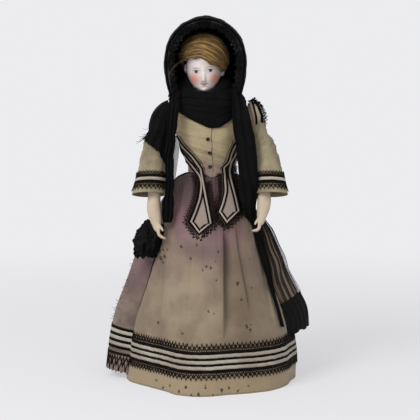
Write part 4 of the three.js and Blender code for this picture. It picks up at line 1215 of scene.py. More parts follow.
@dataclass
class Skirt:
    """Petticoat, trained skirt and the overskirt at the back, with their trims."""
    figure: Figure
    hem_half_width: float = 99
    hem_front: float = 97
    hem_back: float = 110
    hem_sway: float = 3
    band_lift: float = 1.6
    pleats: int = 11
    pleat_depth: float = 0.035
    ribbon_height: float = 2.6
    ribbon_gap: float = 3.8
    lower_lace: Pair = (17.5, 26.2)
    first_ribbon: float = 26.2
    upper_lace: Pair = (57.6, 47.6)
    train_start: float = 0.12
    train_lift: float = 21

    def __post_init__(self) -> None:
        """Fits the skirt's flare and the outline of its hem."""
        self.top = self.figure.waist - 4.4
        low = {0.335: 0.47, 0.535: 0.67, 0.725: 0.87, 1: 1}
        self.flare = through({0: 0, 0.03: 0.2, 0.07: 0.27, 0.145: 0.33, **low})
        self.front_flare = through({0: 0, 0.07: 0.21, 0.145: 0.3, **low})
        self.full = through({0.04: 0, 0.4: 1, 1: 1})
        self.hem_outline = through({
            0.474: 1, 0.56: 0.94, 0.62: 0.9, 0.66: 0.94, 0.7: 1.05, 0.73: 1.08, 0.77: 1.03, 0.79: 1, 0.865: 1.03,
            0.94: 0.99, 1: 0.99, 1.1: 1})
        self.outline_strength = through({0.1: 0, 0.6: 0.8, 1: 1})
        self.left_fullness = through({0.5: 0, 0.8: 0.07, 0.86: 0.07, 1: 0.021})
        self.stand_off = through({0: 0.6, 0.8: 0.95, 0.9: 1, 0.95: 0.64, 1: -0.05})
        self.train_end = through({0: 0.535, self.top * 0.4: 0.525, self.top * 0.65: 0.505, self.top: 0.5})

    def drop(self, z: Array) -> Array:
        """How far down the skirt a height is, from 0 at the waist to 1 at the hem."""
        return (self.top - z) / self.top

    def centre(self, z: Array) -> Array:
        """The skirt's sideways middle."""
        return lerp(self.figure.sway(np.array(self.top)), self.hem_sway, self.flare(self.drop(z)))

    def reach(self, z: Array) -> Array:
        """The skirt's half width without its folds."""
        start = self.figure.half_width(np.array(self.top)) + self.band_lift
        return lerp(start, self.hem_half_width, self.flare(self.drop(z)))

    def creases(self, u: Array, x: Array, z: Array) -> Array:
        """Folds of the cloth, outwards in millimetres.

        Args:
            u: shares of a turn.
            x: sideways places.
            z: heights.

        Returns:
            How far the cloth stands out from its plain flare.
        """
        front = rise(-sine(u), 0, 0.3)
        # Each fold: its line, its lean, the way it falls, its depth, its width, and the heights it runs between
        folds = (
            (19.4, 0, 1, 9, 15, 58, 188), (36, 0.16, 1, 4, 9, 80, 196), (-46, -0.12, -1, 3, 10, 58, 188),
            (-14, -0.1, 1, 1, 8, 70, 180), (64, 0.1, -1, 2, 9, 64, 150), (4, 0.05, -1, 0.9, 7, 90, 200))
        out = np.zeros_like(x)
        for line, lean, way, depth, width, bottom, top in folds:
            past = (x - line - lean * (165 - z)) * way
            strength = rise(z, bottom, bottom + 30) * rise(z, top, top - 30)
            inside = rise(past, -1.2, 1.2)
            ridge = 0.35 * np.exp(np.minimum(past, 0) / (1.6 * width)) * (1 - inside)
            dip = np.exp(-np.maximum(past, 0) / width) * inside
            out += depth * strength * front * (ridge - dip)
        gathers = np.exp(-(self.top - z) / 34) * rise(self.top - z, 0, 6)
        out += 1.1 * gathers * cosine(46 * u + 0.35 * wobble(u * 5, 3))
        out += self.full(self.drop(z)) * (0.9 * wobble(u * 6, 4) + 0.5 * wobble(u * 17 + z / 220, 5))
        return out + 0.4 * wobble(z / 31 + 4 * u, 6) * wobble(u * 9, 7)

    def point(self, u: Array, z: Array, inset: Value = 0, smooth: bool = False) -> Array:
        """A place on the skirt.

        Args:
            u: shares of a turn.
            z: heights.
            inset: how far in from the cloth.
            smooth: whether to leave out pleats and creases.

        Returns:
            The places.
        """
        turn = FULL * u
        side, aside = np.sin(turn), np.cos(turn)
        drop = self.drop(z)
        flare = np.where(side < 0, self.front_flare(drop), self.flare(drop))
        start = self.figure.half_depth(np.array(self.top)) + self.band_lift
        size = 1 + self.outline_strength(drop) * (self.hem_outline(np.mod(u - 0.1, 1) + 0.1) - 1)
        size = size + self.left_fullness(drop) * np.maximum(aside, 0) ** 2
        reach = self.reach(z)
        depth = lerp(start, np.where(side < 0, self.hem_front, self.hem_back), flare)
        out = -np.broadcast_to(inset, np.shape(u))
        if not smooth:
            size = size + self.full(drop) * self.pleat_depth * (0.5 + 0.5 * side) * np.cos(self.pleats * turn)
            out = out + self.creases(u, self.centre(z) + reach * aside, z)
        return vec(self.centre(z) + (reach * size + out) * aside, (depth * size + out) * side, z)

    def lift(self, u: Array, z: Array, distance: Value, smooth: bool = False) -> Array:
        """A place that stands off the skirt, with or without its creases."""
        base = lifted(lambda a, b: self.point(a, b * self.top, 0, smooth), distance)
        return base(u, z / self.top)

    def build(self) -> None:
        """Makes the underclothes, skirt, overskirt and trims."""
        self.build_petticoat()

        def cloth(u: Array, v: Array) -> Array:
            """The skirt, with more rows near the waist and more columns in front."""
            u = u + 0.4 * sine(u - 0.25) / FULL
            z = self.top * (1 - (1 - v) ** 1.3)
            return self.point(u, z)

        Piece("trained_skirt", SKIRT_SILK, node="skirt", thick=0.6, size=(650, 260),
              held=(Hold.GATHERED, "skirt_waistband_cloth", "right_booted_leg")).ring(cloth, 420, 96)
        self.trim_ring("skirt_hem_lace", *self.lower_lace, "skirt_lace_lower")
        self.trim_ring("skirt_upper_lace", *self.upper_lace, "skirt_lace_upper")
        pitch = self.ribbon_height + self.ribbon_gap
        for i in range(4):
            low = self.first_ribbon + i * pitch
            self.band(f"skirt_velvet_{i + 1}", VELVET, low, low + self.ribbon_height, f"skirt_ribbon_{i + 1}")
            if i < 3:
                self.band(f"skirt_pale_{i + 1}", PALE_RIBBON, low + self.ribbon_height, low + pitch)
        self.build_overskirt()

    def band(self, name: str, finish: Finish, low: float, high: float, node: str = "") -> None:
        """Makes a ribbon sewn round the skirt, which ripples a little."""
        Piece(name, finish, node=node, thick=0.4, size=(650, high - low)).ring(
            lambda u, v: self.lift(u, lerp(low, high, v) + 0.35 * wobble(u * 23, low), 0.9), 420, 2)

    def trim_ring(self, name: str, points: float, footing: float, node: str) -> None:
        """Makes a lace edging round the skirt, from its points' height to its footing's."""
        bm = LaceEdge(5.4).band(lambda u, v: self.lift(
            u, lerp(points, footing, v) + 0.3 * wobble(u * 19, points), 1 + 0.5 * (1 - v)), 630)
        Piece(name, LACE, node=node, thick=0.4, offset=0).make(bm)

    def build_petticoat(self) -> None:
        """Makes the petticoat and the waistband."""
        rise_from_floor, deep = 5, 11
        inset = through({0: 1.2, 0.03: 0.5 * deep, 0.14: deep})

        def cotton(u: Array, v: Array) -> Array:
            """The petticoat, a little in from the skirt, with tucks near its hem."""
            z = lerp(rise_from_floor, self.top, 1 - (1 - v) ** 1.2)
            tucks = sum(0.5 * bump_at(z, level, 0.9) for level in (16, 22, 28))
            return self.point(u, z, inset(self.drop(z)) - tucks)

        Piece("cotton_petticoat", MUSLIN, node="petticoat", thick=0.4, size=(560, 240),
              held=(Hold.GATHERED, "skirt_waistband_cloth")).ring(cotton, 200, 90)

        def waistband(u: Array, v: Array) -> Array:
            """The band that the gathers are sewn to."""
            z = self.figure.waist + 8 * (v - 0.5)
            return self.figure.lift(u, z, self.band_lift + 0.2 * cosine(40 * u))

        Piece("skirt_waistband_cloth", JACKET_SILK, node="skirt_waistband", thick=0.9, size=(150, 8)).ring(
            waistband, 160, 6)

    def train(self, u: Array, z: Array, over: Value = 0) -> Array:
        """A place on the overskirt, from the left round the back to its free right edge."""
        folds = 2.6 * cosine(9 * u) * rise(u, 0.9, 0.75) + 0.7 * wobble(u * 4 + z / 160, 2)
        hang = 1.9 + self.full(self.drop(z)) * (self.train_lift * self.stand_off(u) + folds)
        return self.lift(lerp(self.train_start, self.train_end(z), u), z, hang + over, smooth=True)

    def build_overskirt(self) -> None:
        """Makes the overskirt with its ribbons and its lace."""
        low, high = 7, self.top - 3
        ragged = 1.6

        def spread(u: Array) -> Array:
            """Shares of the overskirt's width, closer together near the free edge."""
            return 1 - (1 - u) ** 1.3

        def cloth(u: Array, v: Array) -> Array:
            """The overskirt, ragged along its hem."""
            u = spread(u)
            z = lerp(low, high, 1 - (1 - v) ** 1.2)
            return self.train(u, z + ragged * wobble(u * 60, 3) * rise(v, 0.06, 0))

        Piece("draped_overskirt", TRAIN_SILK, node="overskirt", thick=0.6, size=(360, 260),
              held=(Hold.GATHERED, "skirt_waistband_cloth", "trained_skirt")).sheet(cloth, 240, 96)
        for i, level in enumerate((33, 40, 47, 54)):
            for kind, finish, start, tall in (("velvet", VELVET, 0, 3.2), ("pale", PALE_RIBBON, 3.2, 3.8)):
                if kind == "velvet" or i < 3:
                    Piece(f"overskirt_{kind}_{i + 1}", finish, thick=0.4, size=(360, tall)).sheet(
                        lambda u, v: self.train(spread(u), level + start + tall * v, 0.9), 220, 2)
        bm = LaceEdge(6.5).band(lambda u, v: self.train(u, lerp(8, 29, v), 1.3), 330)
        Piece("overskirt_hem_lace", LACE, node="overskirt_lace", thick=0.4, offset=0).make(bm)
        rng = np.random.default_rng(7)
        bm = bmesh.new()
        for _ in range(110):
            turn, level, reach = rng.uniform(0.83, 0.95), rng.uniform(60, 178), rng.uniform(1.2, 4)
            bends = rng.normal(0, 0.4, 3)[None, :] * np.linspace(0, reach, 4)[:, None]
            path = self.train(np.full(4, turn), np.full(4, level), np.linspace(0.2, reach, 4)) + bends
            add_thread(bm, path, np.linspace(0.26, 0.12, 4))
        Piece("overskirt_frayed_edge", LACE, size=(2, 4)).make(bm)


@dataclass
class Jacket:
    """The fitted bodice with its buttons, piping and two pointed tabs."""
    figure: Figure
    skirt: Skirt
    top_rise: float = 5
    arm_hole: float = 9
    point_drop: float = 5
    buttons: tuple[Pair, ...] = ((-0.016, 280), (-0.0115, 266), (-0.0135, 249))
    button_radius: float = 2.2

    def surface(self, u: Array, z: Array, over: Value = 0) -> Array:
        """A place on the bodice, with its bust, its lapped front edge and its creases.

        Args:
            u: shares of a turn.
            z: heights.
            over: how far off the cloth.

        Returns:
            The places.
        """
        chest = sum(2.6 * bump_at(u, FRONT + side * 0.075, 0.055) for side in (-1, 1)) * bump_at(z, 276, 13)
        lap = 0.8 * rise(u, FRONT + 0.004, FRONT - 0.002) * rise(u, FRONT - 0.09, FRONT - 0.02)
        front = rise(-sine(u), 0.1, 0.6)
        pull = sum(0.7 * bump_at(z + 60 * np.abs(u - FRONT), level + 5, 1.6) for _, level in self.buttons)
        crease = front * (pull * bump_at(u, FRONT, 0.06) + 0.7 * wobble(z / 12 + 5 * u, 3))
        return self.figure.lift(u, z, self.figure.bodice_lift + chest + lap + crease + over)

    def build(self) -> None:
        """Makes the bodice and all that is sewn on it."""
        low, high = self.figure.waist - 4, self.figure.shoulder + self.top_rise
        hub = in_frame(vec(0, 0, self.figure.pivot))
        bm = ring_mesh(
            lambda u, v: self.surface(u, lerp(low - self.point_drop * bump_at(u, FRONT, 0.04), high, v)), 240, 80)
        away = {face: np.abs(np.array(face.calc_center_median()) - hub) / MM for face in bm.faces}
        cut = [face for face, (x, y, z) in away.items() if x > 30 and math.hypot(y, z) < self.arm_hole]
        bmesh.ops.delete(bm, geom=cut, context="FACES")
        Piece("fitted_bodice", JACKET_SILK, node="bodice", thick=0.7, size=(210, 70),
              held=(Hold.GATHERED, "bisque_shoulder_head", "stuffed_torso")).make(bm)
        self.build_buttons()
        self.build_piping()
        self.build_tabs()

    def build_buttons(self) -> None:
        """Makes three domed horn buttons with a rim and a sunk middle."""
        profile = through({0: 0.55, 0.3: 0.6, 0.55: 1, 0.8: 1.5, 1: 0.7})
        for i, (turn, level) in enumerate(self.buttons):
            at = np.array([FRONT + turn]), np.array([level])
            seat = self.surface(*at, 0.5)[0]
            out = normal_of(self.figure.point, *at)[0]
            aside = vec(1, 0, 0)
            up = np.cross(out, aside) * -1

            def button(u: Array, v: Array) -> Array:
                """The button, from its back to its sunk middle."""
                away = np.where(v < 0.4, v / 0.4, (1 - v) / 0.6)
                tall = np.where(v < 0.4, 0, profile(unit(away)))
                ring = self.button_radius * away[..., None]
                spread = aside * cosine(u)[..., None] + up * sine(u)[..., None]
                return seat + ring * spread + out * tall[..., None]

            Piece(f"horn_button_{i + 1}", HORN, node=f"button_{i + 1}").ring(button, 28, 20)

    def build_piping(self) -> None:
        """Makes the double piped seams that shape the bodice's front, and a dark thread along its lapped edge that
        stands for the shadow under the lap.
        """
        bm = bmesh.new()
        seams = (((-0.19, 285), (-0.16, 275), (-0.1, 263), (-0.054, 246)),
                 ((0.135, 283), (0.1, 266), (0.0925, 257), (0.0605, 246)))
        for seam in seams:
            for shift in (-0.006, 0.006):
                turns, levels = np.array(seam).T
                path = smooth_path([(turn, level, 0) for turn, level in zip(turns, levels)], 40)
                line = self.surface(FRONT + path[:, 0] + shift, path[:, 1], 0.7)
                add_thread(bm, line, 0.5, 6)
        # A dark thread along the lapped front edge: painted shadow under the lap.
        edge = np.linspace(self.figure.waist, 292, 40)
        lap_shadow_line = self.surface(FRONT + 0.002 + 0.006 * wobble(edge / 45, 1), edge, 0.5)
        add_thread(bm, lap_shadow_line, 0.45, 6)
        Piece("bodice_piping_and_lap_shadow", PIPING, size=(3, 50)).make(bm)

    def build_tabs(self) -> None:
        """Makes both pointed tabs."""
        right = Tab(self, "right", -1,
                    ((172.5, -7.6), (187.5, -18.8), (201.5, -13.2), (216, -8.8), (227, -7.6), (236.6, -9.6),
                     (246, -15.3), (258, -24.7), (266, -29.5), (284, -33)),
                    ((172.5, -7.4), (186, 8.3), (196, 6.5), (210.6, 3.7), (225, 0.9), (235.8, -1.1), (245, -2),
                     (253, -6.2), (262, -12.4), (274, -23.8), (284, -30.3)))
        left = Tab(self, "left", 1,
                   ((183.5, 22.2), (198.6, 12.2), (212.3, 16.8), (223.3, 18.8), (237.6, 17.7), (247, 16.8),
                    (256, 22.8), (265, 25.4), (282, 33.9)),
                   ((183.5, 22.6), (198.6, 38.5), (216, 34.8), (230.5, 31), (243, 28.3), (252.6, 30.2), (261, 34.5),
                    (270, 37), (282, 39)))
        right.build()
        left.build()


@dataclass
class Tab:
    """One pointed tab of the jacket, outlined in ribbon and edged with lace."""
    jacket: Jacket
    side: str
    outer: int
    left_edge: tuple[Pair, ...]
    right_edge: tuple[Pair, ...]
    velvet: float = 1.9
    pale: float = 1.9
    lace: float = 6.4

    def __post_init__(self) -> None:
        """Fits the tab's outline."""
        self.low, self.high = self.left_edge[0][0], self.left_edge[-1][0]
        self.left_at, self.right_at = self.outline(self.left_edge), self.outline(self.right_edge)

    @staticmethod
    def outline(stations: tuple[Pair, ...]) -> Curve:
        """An edge that is straight from the point to the corner and curved above it.

        Args:
            stations: heights and sideways places, from the point up.

        Returns:
            The edge.
        """
        (tip, tip_x), (corner, corner_x) = stations[:2]
        curve = through(dict(stations[1:]))
        def edge(z: Array) -> Array:
            """The edge's sideways place at a height."""
            share = unit((z - tip) / (corner - tip))
            return np.where(z < corner, lerp(tip_x, corner_x, share), curve(z))
        return edge

    def place(self, x: Array, z: Array, over: Value) -> Array:
        """A place on the tab, which lies over the bodice's edge and on the skirt below it.

        Args:
            x: sideways places.
            z: heights.
            over: how far off the tab.

        Returns:
            The places.
        """
        skirt, figure = self.jacket.skirt, self.jacket.figure
        clear, blend = 1.7, 2.5

        def base(a: Array, b: Array) -> Array:
            """What the tab lies on, seen from the front."""
            low = np.minimum(b, skirt.top)
            start = figure.half_depth(np.array(skirt.top)) + skirt.band_lift
            deep = lerp(start, skirt.hem_front, skirt.front_flare(skirt.drop(low)))
            off = (a - skirt.centre(low)) / skirt.reach(low)
            away = (a - figure.sway(b)) / (figure.half_width(b) + figure.bodice_lift + 1)
            cloth = deep * np.sqrt(np.clip(1 - off**2, 0.05, 1))
            worn = (figure.half_depth(b) + figure.bodice_lift) * np.sqrt(np.clip(1 - away**2, 0.05, 1))
            ease = blend * np.log1p(np.exp(-np.abs(cloth - worn) / blend))
            return vec(a, -np.maximum(cloth, worn) - ease, b)

        return lifted(base, over + clear)(x, z)

    def inner(self, z: Array, inset: float) -> tuple[Array, Array]:
        """The outline's two edges moved in by a distance.

        Args:
            z: heights.
            inset: the distance.

        Returns:
            The left and the right edge.
        """
        step = 0.5
        edges = []
        for at, way in ((self.left_at, 1), (self.right_at, -1)):
            lean = (at(z + step) - at(z - step)) / (2 * step)
            edges.append(at(z) + way * inset * np.hypot(1, lean))
        middle = (self.left_at(z) + self.right_at(z)) / 2
        return np.minimum(edges[0], middle), np.maximum(edges[1], middle)

    def border(self, start: float, end: float, over: float) -> BMesh:
        """A ribbon along both edges between two distances from the outline.

        Args:
            start: the first distance.
            end: the second.
            over: how far off the tab.

        Returns:
            The mesh.
        """
        bm = bmesh.new()
        for hand in (0, 1):
            def strip(u: Array, v: Array) -> Array:
                """One side of the ribbon."""
                z = lerp(self.low, self.high, v)
                near, far = self.inner(z, start)[hand], self.inner(z, end)[hand]
                share = u if hand == 0 else 1 - u
                return self.place(lerp(near, far, share), z, over)
            sheet_mesh(strip, 2, 150, into=bm)
        bmesh.ops.dissolve_degenerate(bm, dist=2e-5, edges=bm.edges[:])
        return bm

    def edging(self, u: Array, v: Array) -> Array:
        """The lace band: down the outer edge, round the point and up the inner edge.

        Args:
            u: shares of the band's length.
            v: shares from its points to its footing.

        Returns:
            The places.
        """
        outer_at, inner_at = (self.left_at, self.right_at) if self.outer < 0 else (self.right_at, self.left_at)
        point_at, top, inner_top = 0.56, self.low + 66, self.low + 58

        def edge(s: Array) -> tuple[Array, Array]:
            """The outline, from its outer top to its inner one."""
            z = np.where(s < point_at, lerp(top, self.low, s / point_at),
                         lerp(self.low, inner_top, (s - point_at) / (1 - point_at)))
            return np.where(s < point_at, outer_at(z), inner_at(z)), z

        step = 0.025
        x, z = edge(u)
        before, after = edge(unit(u - step)), edge(unit(u + step))
        run_x, run_z = after[0] - before[0], after[1] - before[1]
        run = np.maximum(np.hypot(run_x, run_z), 1e-6)
        out = 0.3 + (1 - v) * self.lace
        away_x, away_z = self.outer * -run_z / run, self.outer * run_x / run
        return self.place(x + away_x * out, z + away_z * out, 0.3 + 1.2 * (1 - v))

    def build(self) -> None:
        """Makes the tab, its ribbons and its lace."""
        def cloth(u: Array, v: Array) -> Array:
            """The tab's silk."""
            z = lerp(self.low, self.high, v)
            return self.place(lerp(self.left_at(z), self.right_at(z), u), z, 0)
        name = f"{self.side}_tab"
        Piece(f"{name}_silk", TAB_SILK, node=name, thick=0.7, size=(26, 80),
              held=(Hold.HUNG, "fitted_bodice", "trained_skirt")).sheet(cloth, 24, 90)
        start = 0
        for kind, finish, width, thick in (("velvet_edge", VELVET, self.velvet, 0.5),
                                           ("pale_stripe", TAB_RIBBON, self.pale, 0.4),
                                           ("velvet_inner", VELVET, self.velvet, 0.5)):
            Piece(f"{name}_{kind}", finish, thick=thick, size=(2, 80)).make(self.border(start, start + width, 0.8))
            start += width
        bm = LaceEdge(3.6, 0.2).band(self.edging, 140)
        Piece(f"{name}_edging", LACE, node=f"{name}_lace", thick=0.4, offset=0).make(bm)


@dataclass
class Arm:
    """One arm: stuffed upper arm, bisque forearm and hand, sleeve and its trims."""
    figure: Figure
    side: str
    mirror: int
    hang: float = math.radians(17)
    length: float = 92
    cuff_width: float = 19.4
    cuff_depth: float = 17
    cap_width: float = 8
    cap_depth: float = 13.5
    cap_level: float = -14
    cap_share: float = 0.7
    hole: Triple = (-3, 13, 15)
    upper: float = 56
    knuckles: float = 80.5
    lean: float = 0
    offset: float = 16.5
    shoulder_offset: float = 6.8
    epaulette_height: float = 17.6
    frill: float = 8
    curl: float = 0

    def __post_init__(self) -> None:
        """Fits the sleeve's outline."""
        n, w, d = self.length, self.cap_width, self.cap_depth
        self.width_at = through({
            -n: self.cuff_width, -0.52 * n: 0.74 * self.cuff_width, -0.36 * n: 0.65 * self.cuff_width,
            -0.2 * n: w + 0.8, -5: w})
        self.depth_at = through({-n: self.cuff_depth, -0.43 * n: 0.86 * self.cuff_depth, -5: d})
        self.middle_at = through({
            -n: self.cuff_width + 3.8, -0.52 * n: 0.74 * self.cuff_width + 3, -0.36 * n: 0.65 * self.cuff_width + 3,
            -0.2 * n: w + 2.4, -5: w + 1.2})
        self.body = f"{self.side}_arm"
        self.pivot = (JOINTS[f"{self.side}_shoulder"] - SHIFT) / MM

    def place(self, points: Array) -> Array:
        """Points of the hanging arm, from ones beside an upright left arm."""
        x, y, z = points[..., 0], points[..., 1], points[..., 2]
        c, s = math.cos(-self.hang), math.sin(-self.hang)
        return self.pivot + vec(self.mirror * x, y * c - z * s, y * s + z * c)

    def level(self, v: Array) -> Array:
        """The height of a share of the sleeve below its cap."""
        return lerp(-self.length, self.cap_level, v / self.cap_share)

    def share(self, z: float) -> float:
        """The share of the sleeve at a height below its cap."""
        return self.cap_share * (z + self.length) / (self.cap_level + self.length)

    def shell(self, u: Array, v: Array) -> Array:
        """The smooth sleeve of the upright left arm, from its cuff to the arm hole.

        Args:
            u: shares of a turn.
            v: shares of the way up.

        Returns:
            The places.
        """
        z = np.minimum(self.level(v), self.cap_level)
        c, s = cosine(u), sine(u)
        tube = vec(self.middle_at(z) + self.width_at(z) * c, self.depth_at(z) * s, z)
        inset, deep, tall = self.hole
        hole = vec(inset, deep * s, tall * c)
        ease = tube * vec(0.78, 0.53, 0) + hole * vec(0, 0.53, 0.75)
        t = unit((v - self.cap_share) / (1 - self.cap_share))[..., None]
        return tube * (1 - t) ** 2 + ease * 2 * t * (1 - t) + hole * t**2

    def sleeve(self, u: Array, v: Array, over: Value = 0) -> Array:
        """A place on the sleeve with its wrinkles.

        Args:
            u: shares of a turn.
            v: shares of the way up.
            over: how far off the cloth.

        Returns:
            The places.
        """
        z = self.level(np.minimum(v, self.cap_share + 0.15))
        seed = 3 + self.mirror
        worn = rise(v, 1, 0.72)
        soft = 1.1 * wobble(u * 3 + z / 150, seed) * rise(z, -96, -60) * worn
        bend = 1.3 * wobble(z / 17 + 0.9 * sine(u), seed + 1) * bump_at(z, -44, 20)
        crush = 0.8 * wobble(z / 10 - 1.4 * cosine(u), seed + 2) * bump_at(z, -30, 18) * worn
        return lifted(self.shell, soft + bend + crush + over)(u, v)

    def on_sleeve(self, u: Array, v: Array, over: Value) -> Array:
        """A place on the sleeve in the doll's frame."""
        return self.place(self.sleeve(u, v, over))

    def piece(self, name: str, finish: Finish, node: str = "", turned: bool = True, **settings: object) -> Piece:
        """A piece of this arm, named like its node after the side, turned where mirroring turns its faces."""
        return Piece(f"{self.side}_{name}", finish, self.body, node and f"{self.side}_{node}",
                     mirrored=turned and self.mirror < 0, **settings)

    def build(self) -> None:
        """Makes the arm and its sleeve."""
        self.build_limb()
        self.build_hand()
        self.piece("silk_sleeve", SLEEVE_SILK, "sleeve", thick=0.6, size=(110, 115),
                   held=(Hold.HUNG, f"{self.side}_stuffed_upper_arm")).ring(
            lambda u, v: self.on_sleeve(u, v, -0.6), 110, 110)
        cuff = -self.length
        self.ring("sleeve_velvet_lower", VELVET, cuff + 11.4, cuff + 14.2, "sleeve_ribbon_lower")
        self.ring("sleeve_pale", PALE_RIBBON, cuff + 14.2, cuff + 17.6)
        self.ring("sleeve_velvet_upper", VELVET, cuff + 17.6, cuff + 20.4)
        self.lace_ring("sleeve_cuff_lace", cuff + 3.4, cuff + 11.6, "sleeve_lace_lower", 4.6)
        self.lace_ring("sleeve_top_lace", cuff + 25.4, cuff + 20.2, "sleeve_trim_upper", 4)
        self.build_epaulette()

    def ring(self, name: str, finish: Finish, low: float, high: float, node: str = "") -> None:
        """Makes a ribbon round the sleeve."""
        self.piece(name, finish, node, thick=0.4, size=(110, 3)).ring(
            lambda u, v: self.on_sleeve(u, lerp(self.share(low), self.share(high), v), 0.5), 110, 2)

    def lace_ring(self, name: str, points: float, footing: float, node: str, pitch: float) -> None:
        """Makes a lace edging round the sleeve."""
        bm = LaceEdge(pitch).band(lambda u, v: self.on_sleeve(
            u, lerp(self.share(points), self.share(footing), v), 0.6 + 0.7 * (1 - v)), 112)
        self.piece(name, LACE, node, False, thick=0.4, offset=0).make(bm)

    def build_limb(self) -> None:
        """Makes the stuffed upper arm and the thread that ties the forearm to it."""
        middle = through({
            -self.upper: self.offset, -0.45 * self.upper: self.shoulder_offset + 4.4, 0: self.shoulder_offset,
            8: self.shoulder_offset - 0.5})
        girth = through({-self.upper: 8.6, -0.5 * self.upper: 7.4, -0.27 * self.upper: 6.4, 0: 5, 3: 3})

        def cloth(u: Array, v: Array) -> Array:
            """The upper arm, closed at both ends."""
            z = lerp(-self.upper, 3, v)
            r = girth(z) * rise(v, -0.001, 0.04) * rise(v, 1.001, 0.96)
            r = r * (1 - 0.05 * bump_at(u, 0.5, 0.02))
            return self.place(vec(middle(z) + r * cosine(u), r * sine(u), z))

        def hub(u: Array, v: Array) -> Array:
            """The stuffed stub that is sewn to the shoulder."""
            r = 6.2 * rise(v, -0.001, 0.1) * rise(v, 1.001, 0.7)
            return self.place(vec(lerp(-5.9, 5, v), r * cosine(u), r * sine(u)))

        bm = ring_mesh(cloth, 36, 40)
        ring_mesh(hub, 32, 16, into=bm)
        self.piece("stuffed_upper_arm", MUSLIN, "upper_arm", size=(55, 60), fill=0.9).make(bm)
        at = vec(self.offset, 0, -self.upper - 0.4)
        turns = thread_winding(np.zeros(3), 9.4, 6)
        places = (np.array([vert.co for vert in turns.verts]) - SHIFT) / MM + at
        settle(turns.verts, self.place(places))
        self.piece("arm_thread", THREAD, "arm_binding", size=(6, 400)).make(turns)

    def build_hand(self) -> None:
        """Makes the bisque forearm with its hand, fused from rounded forms."""
        top, palm = -self.upper - 0.4, -self.upper - self.knuckles
        inner = self.offset - self.lean
        bend = through({
            palm: inner - 4.2, palm + 5: inner - 3, palm + 12: inner - 1.6, palm + 19: inner - 0.2,
            palm + 30: inner + 1, palm + 47: inner + 0.3, top: self.offset})
        wide = through({
            palm: 2.6, palm + 5: 4, palm + 9: 5, palm + 13: 6, palm + 19: 7.2, palm + 30: 7.9, palm + 42: 7.3,
            top: 7.3})
        deep = through({palm: 4.2, palm + 5: 4.4, palm + 12: 5, palm + 19: 6.4, palm + 30: 7.4, top: 7.3})

        def limb(u: Array, v: Array) -> Array:
            """The forearm and palm, closed at both ends."""
            z = lerp(palm, top, v)
            shrink = rise(v, -0.001, 0.04) * rise(v, 1.001, 0.97)
            return self.place(vec(bend(z) + wide(z) * shrink * cosine(u), deep(z) * shrink * sine(u), z))

        def digit(knots: list[Triple], girth: Curve) -> None:
            """Adds a finger along a path from the palm."""
            path, radius = smooth_path(knots, 16), girth(np.linspace(0, 1, 16))
            ring_mesh(lambda u, v: self.place(tube_surface(path, radius)(u, v)), 10, 18, into=bm)

        bm = ring_mesh(limb, 48, 90)
        knuckle = float(bend(np.array(palm)))
        drop = lerp(7.2, 5.2, self.curl)
        for aside, long in ((-3.1, 0.93), (-1, 1), (1.1, 0.95), (3, 0.8)):
            digit([(knuckle, 0.9 * aside, palm + 6), (knuckle - 0.6, aside, palm - 1),
                   (knuckle - 4.2 * long, 0.95 * aside, palm - 4.8 * long),
                   (knuckle - 9.8 * long, 0.85 * aside, palm - drop * long)],
                  through({0: 2.2, 0.4: 1.9, 0.8: 1.4, 0.95: 0.9, 1: 0.1}))
        digit([(knuckle + 1.2, -3, palm + 11), (knuckle - 2.8, -4, palm + 6.5), (knuckle - 5.2, -4.6, palm + 2.5),
               (knuckle - 5.6, -4.6, palm + 0.5)], through({0: 2, 0.5: 1.7, 0.85: 1.3, 1: 0.1}))
        fuse(self.piece("bisque_forearm", BISQUE, "forearm").make(bm), 0.5)

    def build_epaulette(self) -> None:
        """Makes the crescent over the shoulder with its stripes and its lace."""
        lowest = 165
        inner_at = through({0: -1, 60: 3, 90: 5, 130: 6, lowest: 7})
        outer_at = through({0: 4, 60: 11, 90: 14, 130: 12.5, lowest: 8})

        def at(u: Array, v: Array, over: Value, aside: Value = 0) -> Array:
            """A place on the crescent: u from front to back, v from its inner edge out."""
            from_top = lerp(-lowest, lowest, u)
            angle = np.radians(90 + from_top) - self.hang
            x = lerp(inner_at(np.abs(from_top)), outer_at(np.abs(from_top)), v) + aside
            swell = 0.9 * np.sin(math.pi * unit(v)) + over
            tall = self.epaulette_height + swell
            return self.place(vec(x, -(tall - 2) * np.cos(angle), tall * np.sin(angle)))

        self.piece("silk_epaulette", EPAULETTE_SILK, "epaulette", thick=0.6, size=(60, 10),
                   held=(Hold.DRAPED, f"{self.side}_silk_sleeve")).sheet(
            lambda u, v: at(u, v, 0, -2.4 * (1 - v)), 80, 14)
        bm = bmesh.new()
        for edge, width in ((0, 2.4), (1, -2.6)):
            sheet_mesh(lambda u, v: at(u, edge + 0 * u, 0.9, width * v), 80, 2, bm)
        bmesh.ops.recalc_face_normals(bm, faces=bm.faces[:])
        self.piece("epaulette_velvet", VELVET, "", False, thick=0.4, size=(60, 2), offset=0).make(bm)

        def frill(u: Array, v: Array) -> Array:
            """The lace that stands out from the crescent's lower edge in front and behind."""
            ruffle = sine(9 * u) * (1 - v)
            return at(lerp(0.03, 0.97, u), 1 + 0 * v, 0.4 + ruffle - 2 * (1 - v), self.frill * (1 - v))

        def ruche(u: Array, v: Array) -> Array:
            """The gathered lace that stands up along the shoulder."""
            ruffle = 1.3 * sine(5 * u)
            return at(lerp(0.36, 0.64, u), 0.5 + 0 * v, 0.55 * self.frill * (1 - v), ruffle + 3 * (1 - v))

        for kind, pitch, strip, length in (("lace", 4.4, frill, 90), ("ruche", 3.6, ruche, 40)):
            bm = LaceEdge(pitch).band(strip, length)
            self.piece(f"epaulette_{kind}", LACE, "", False, thick=0.4, offset=0).make(bm)


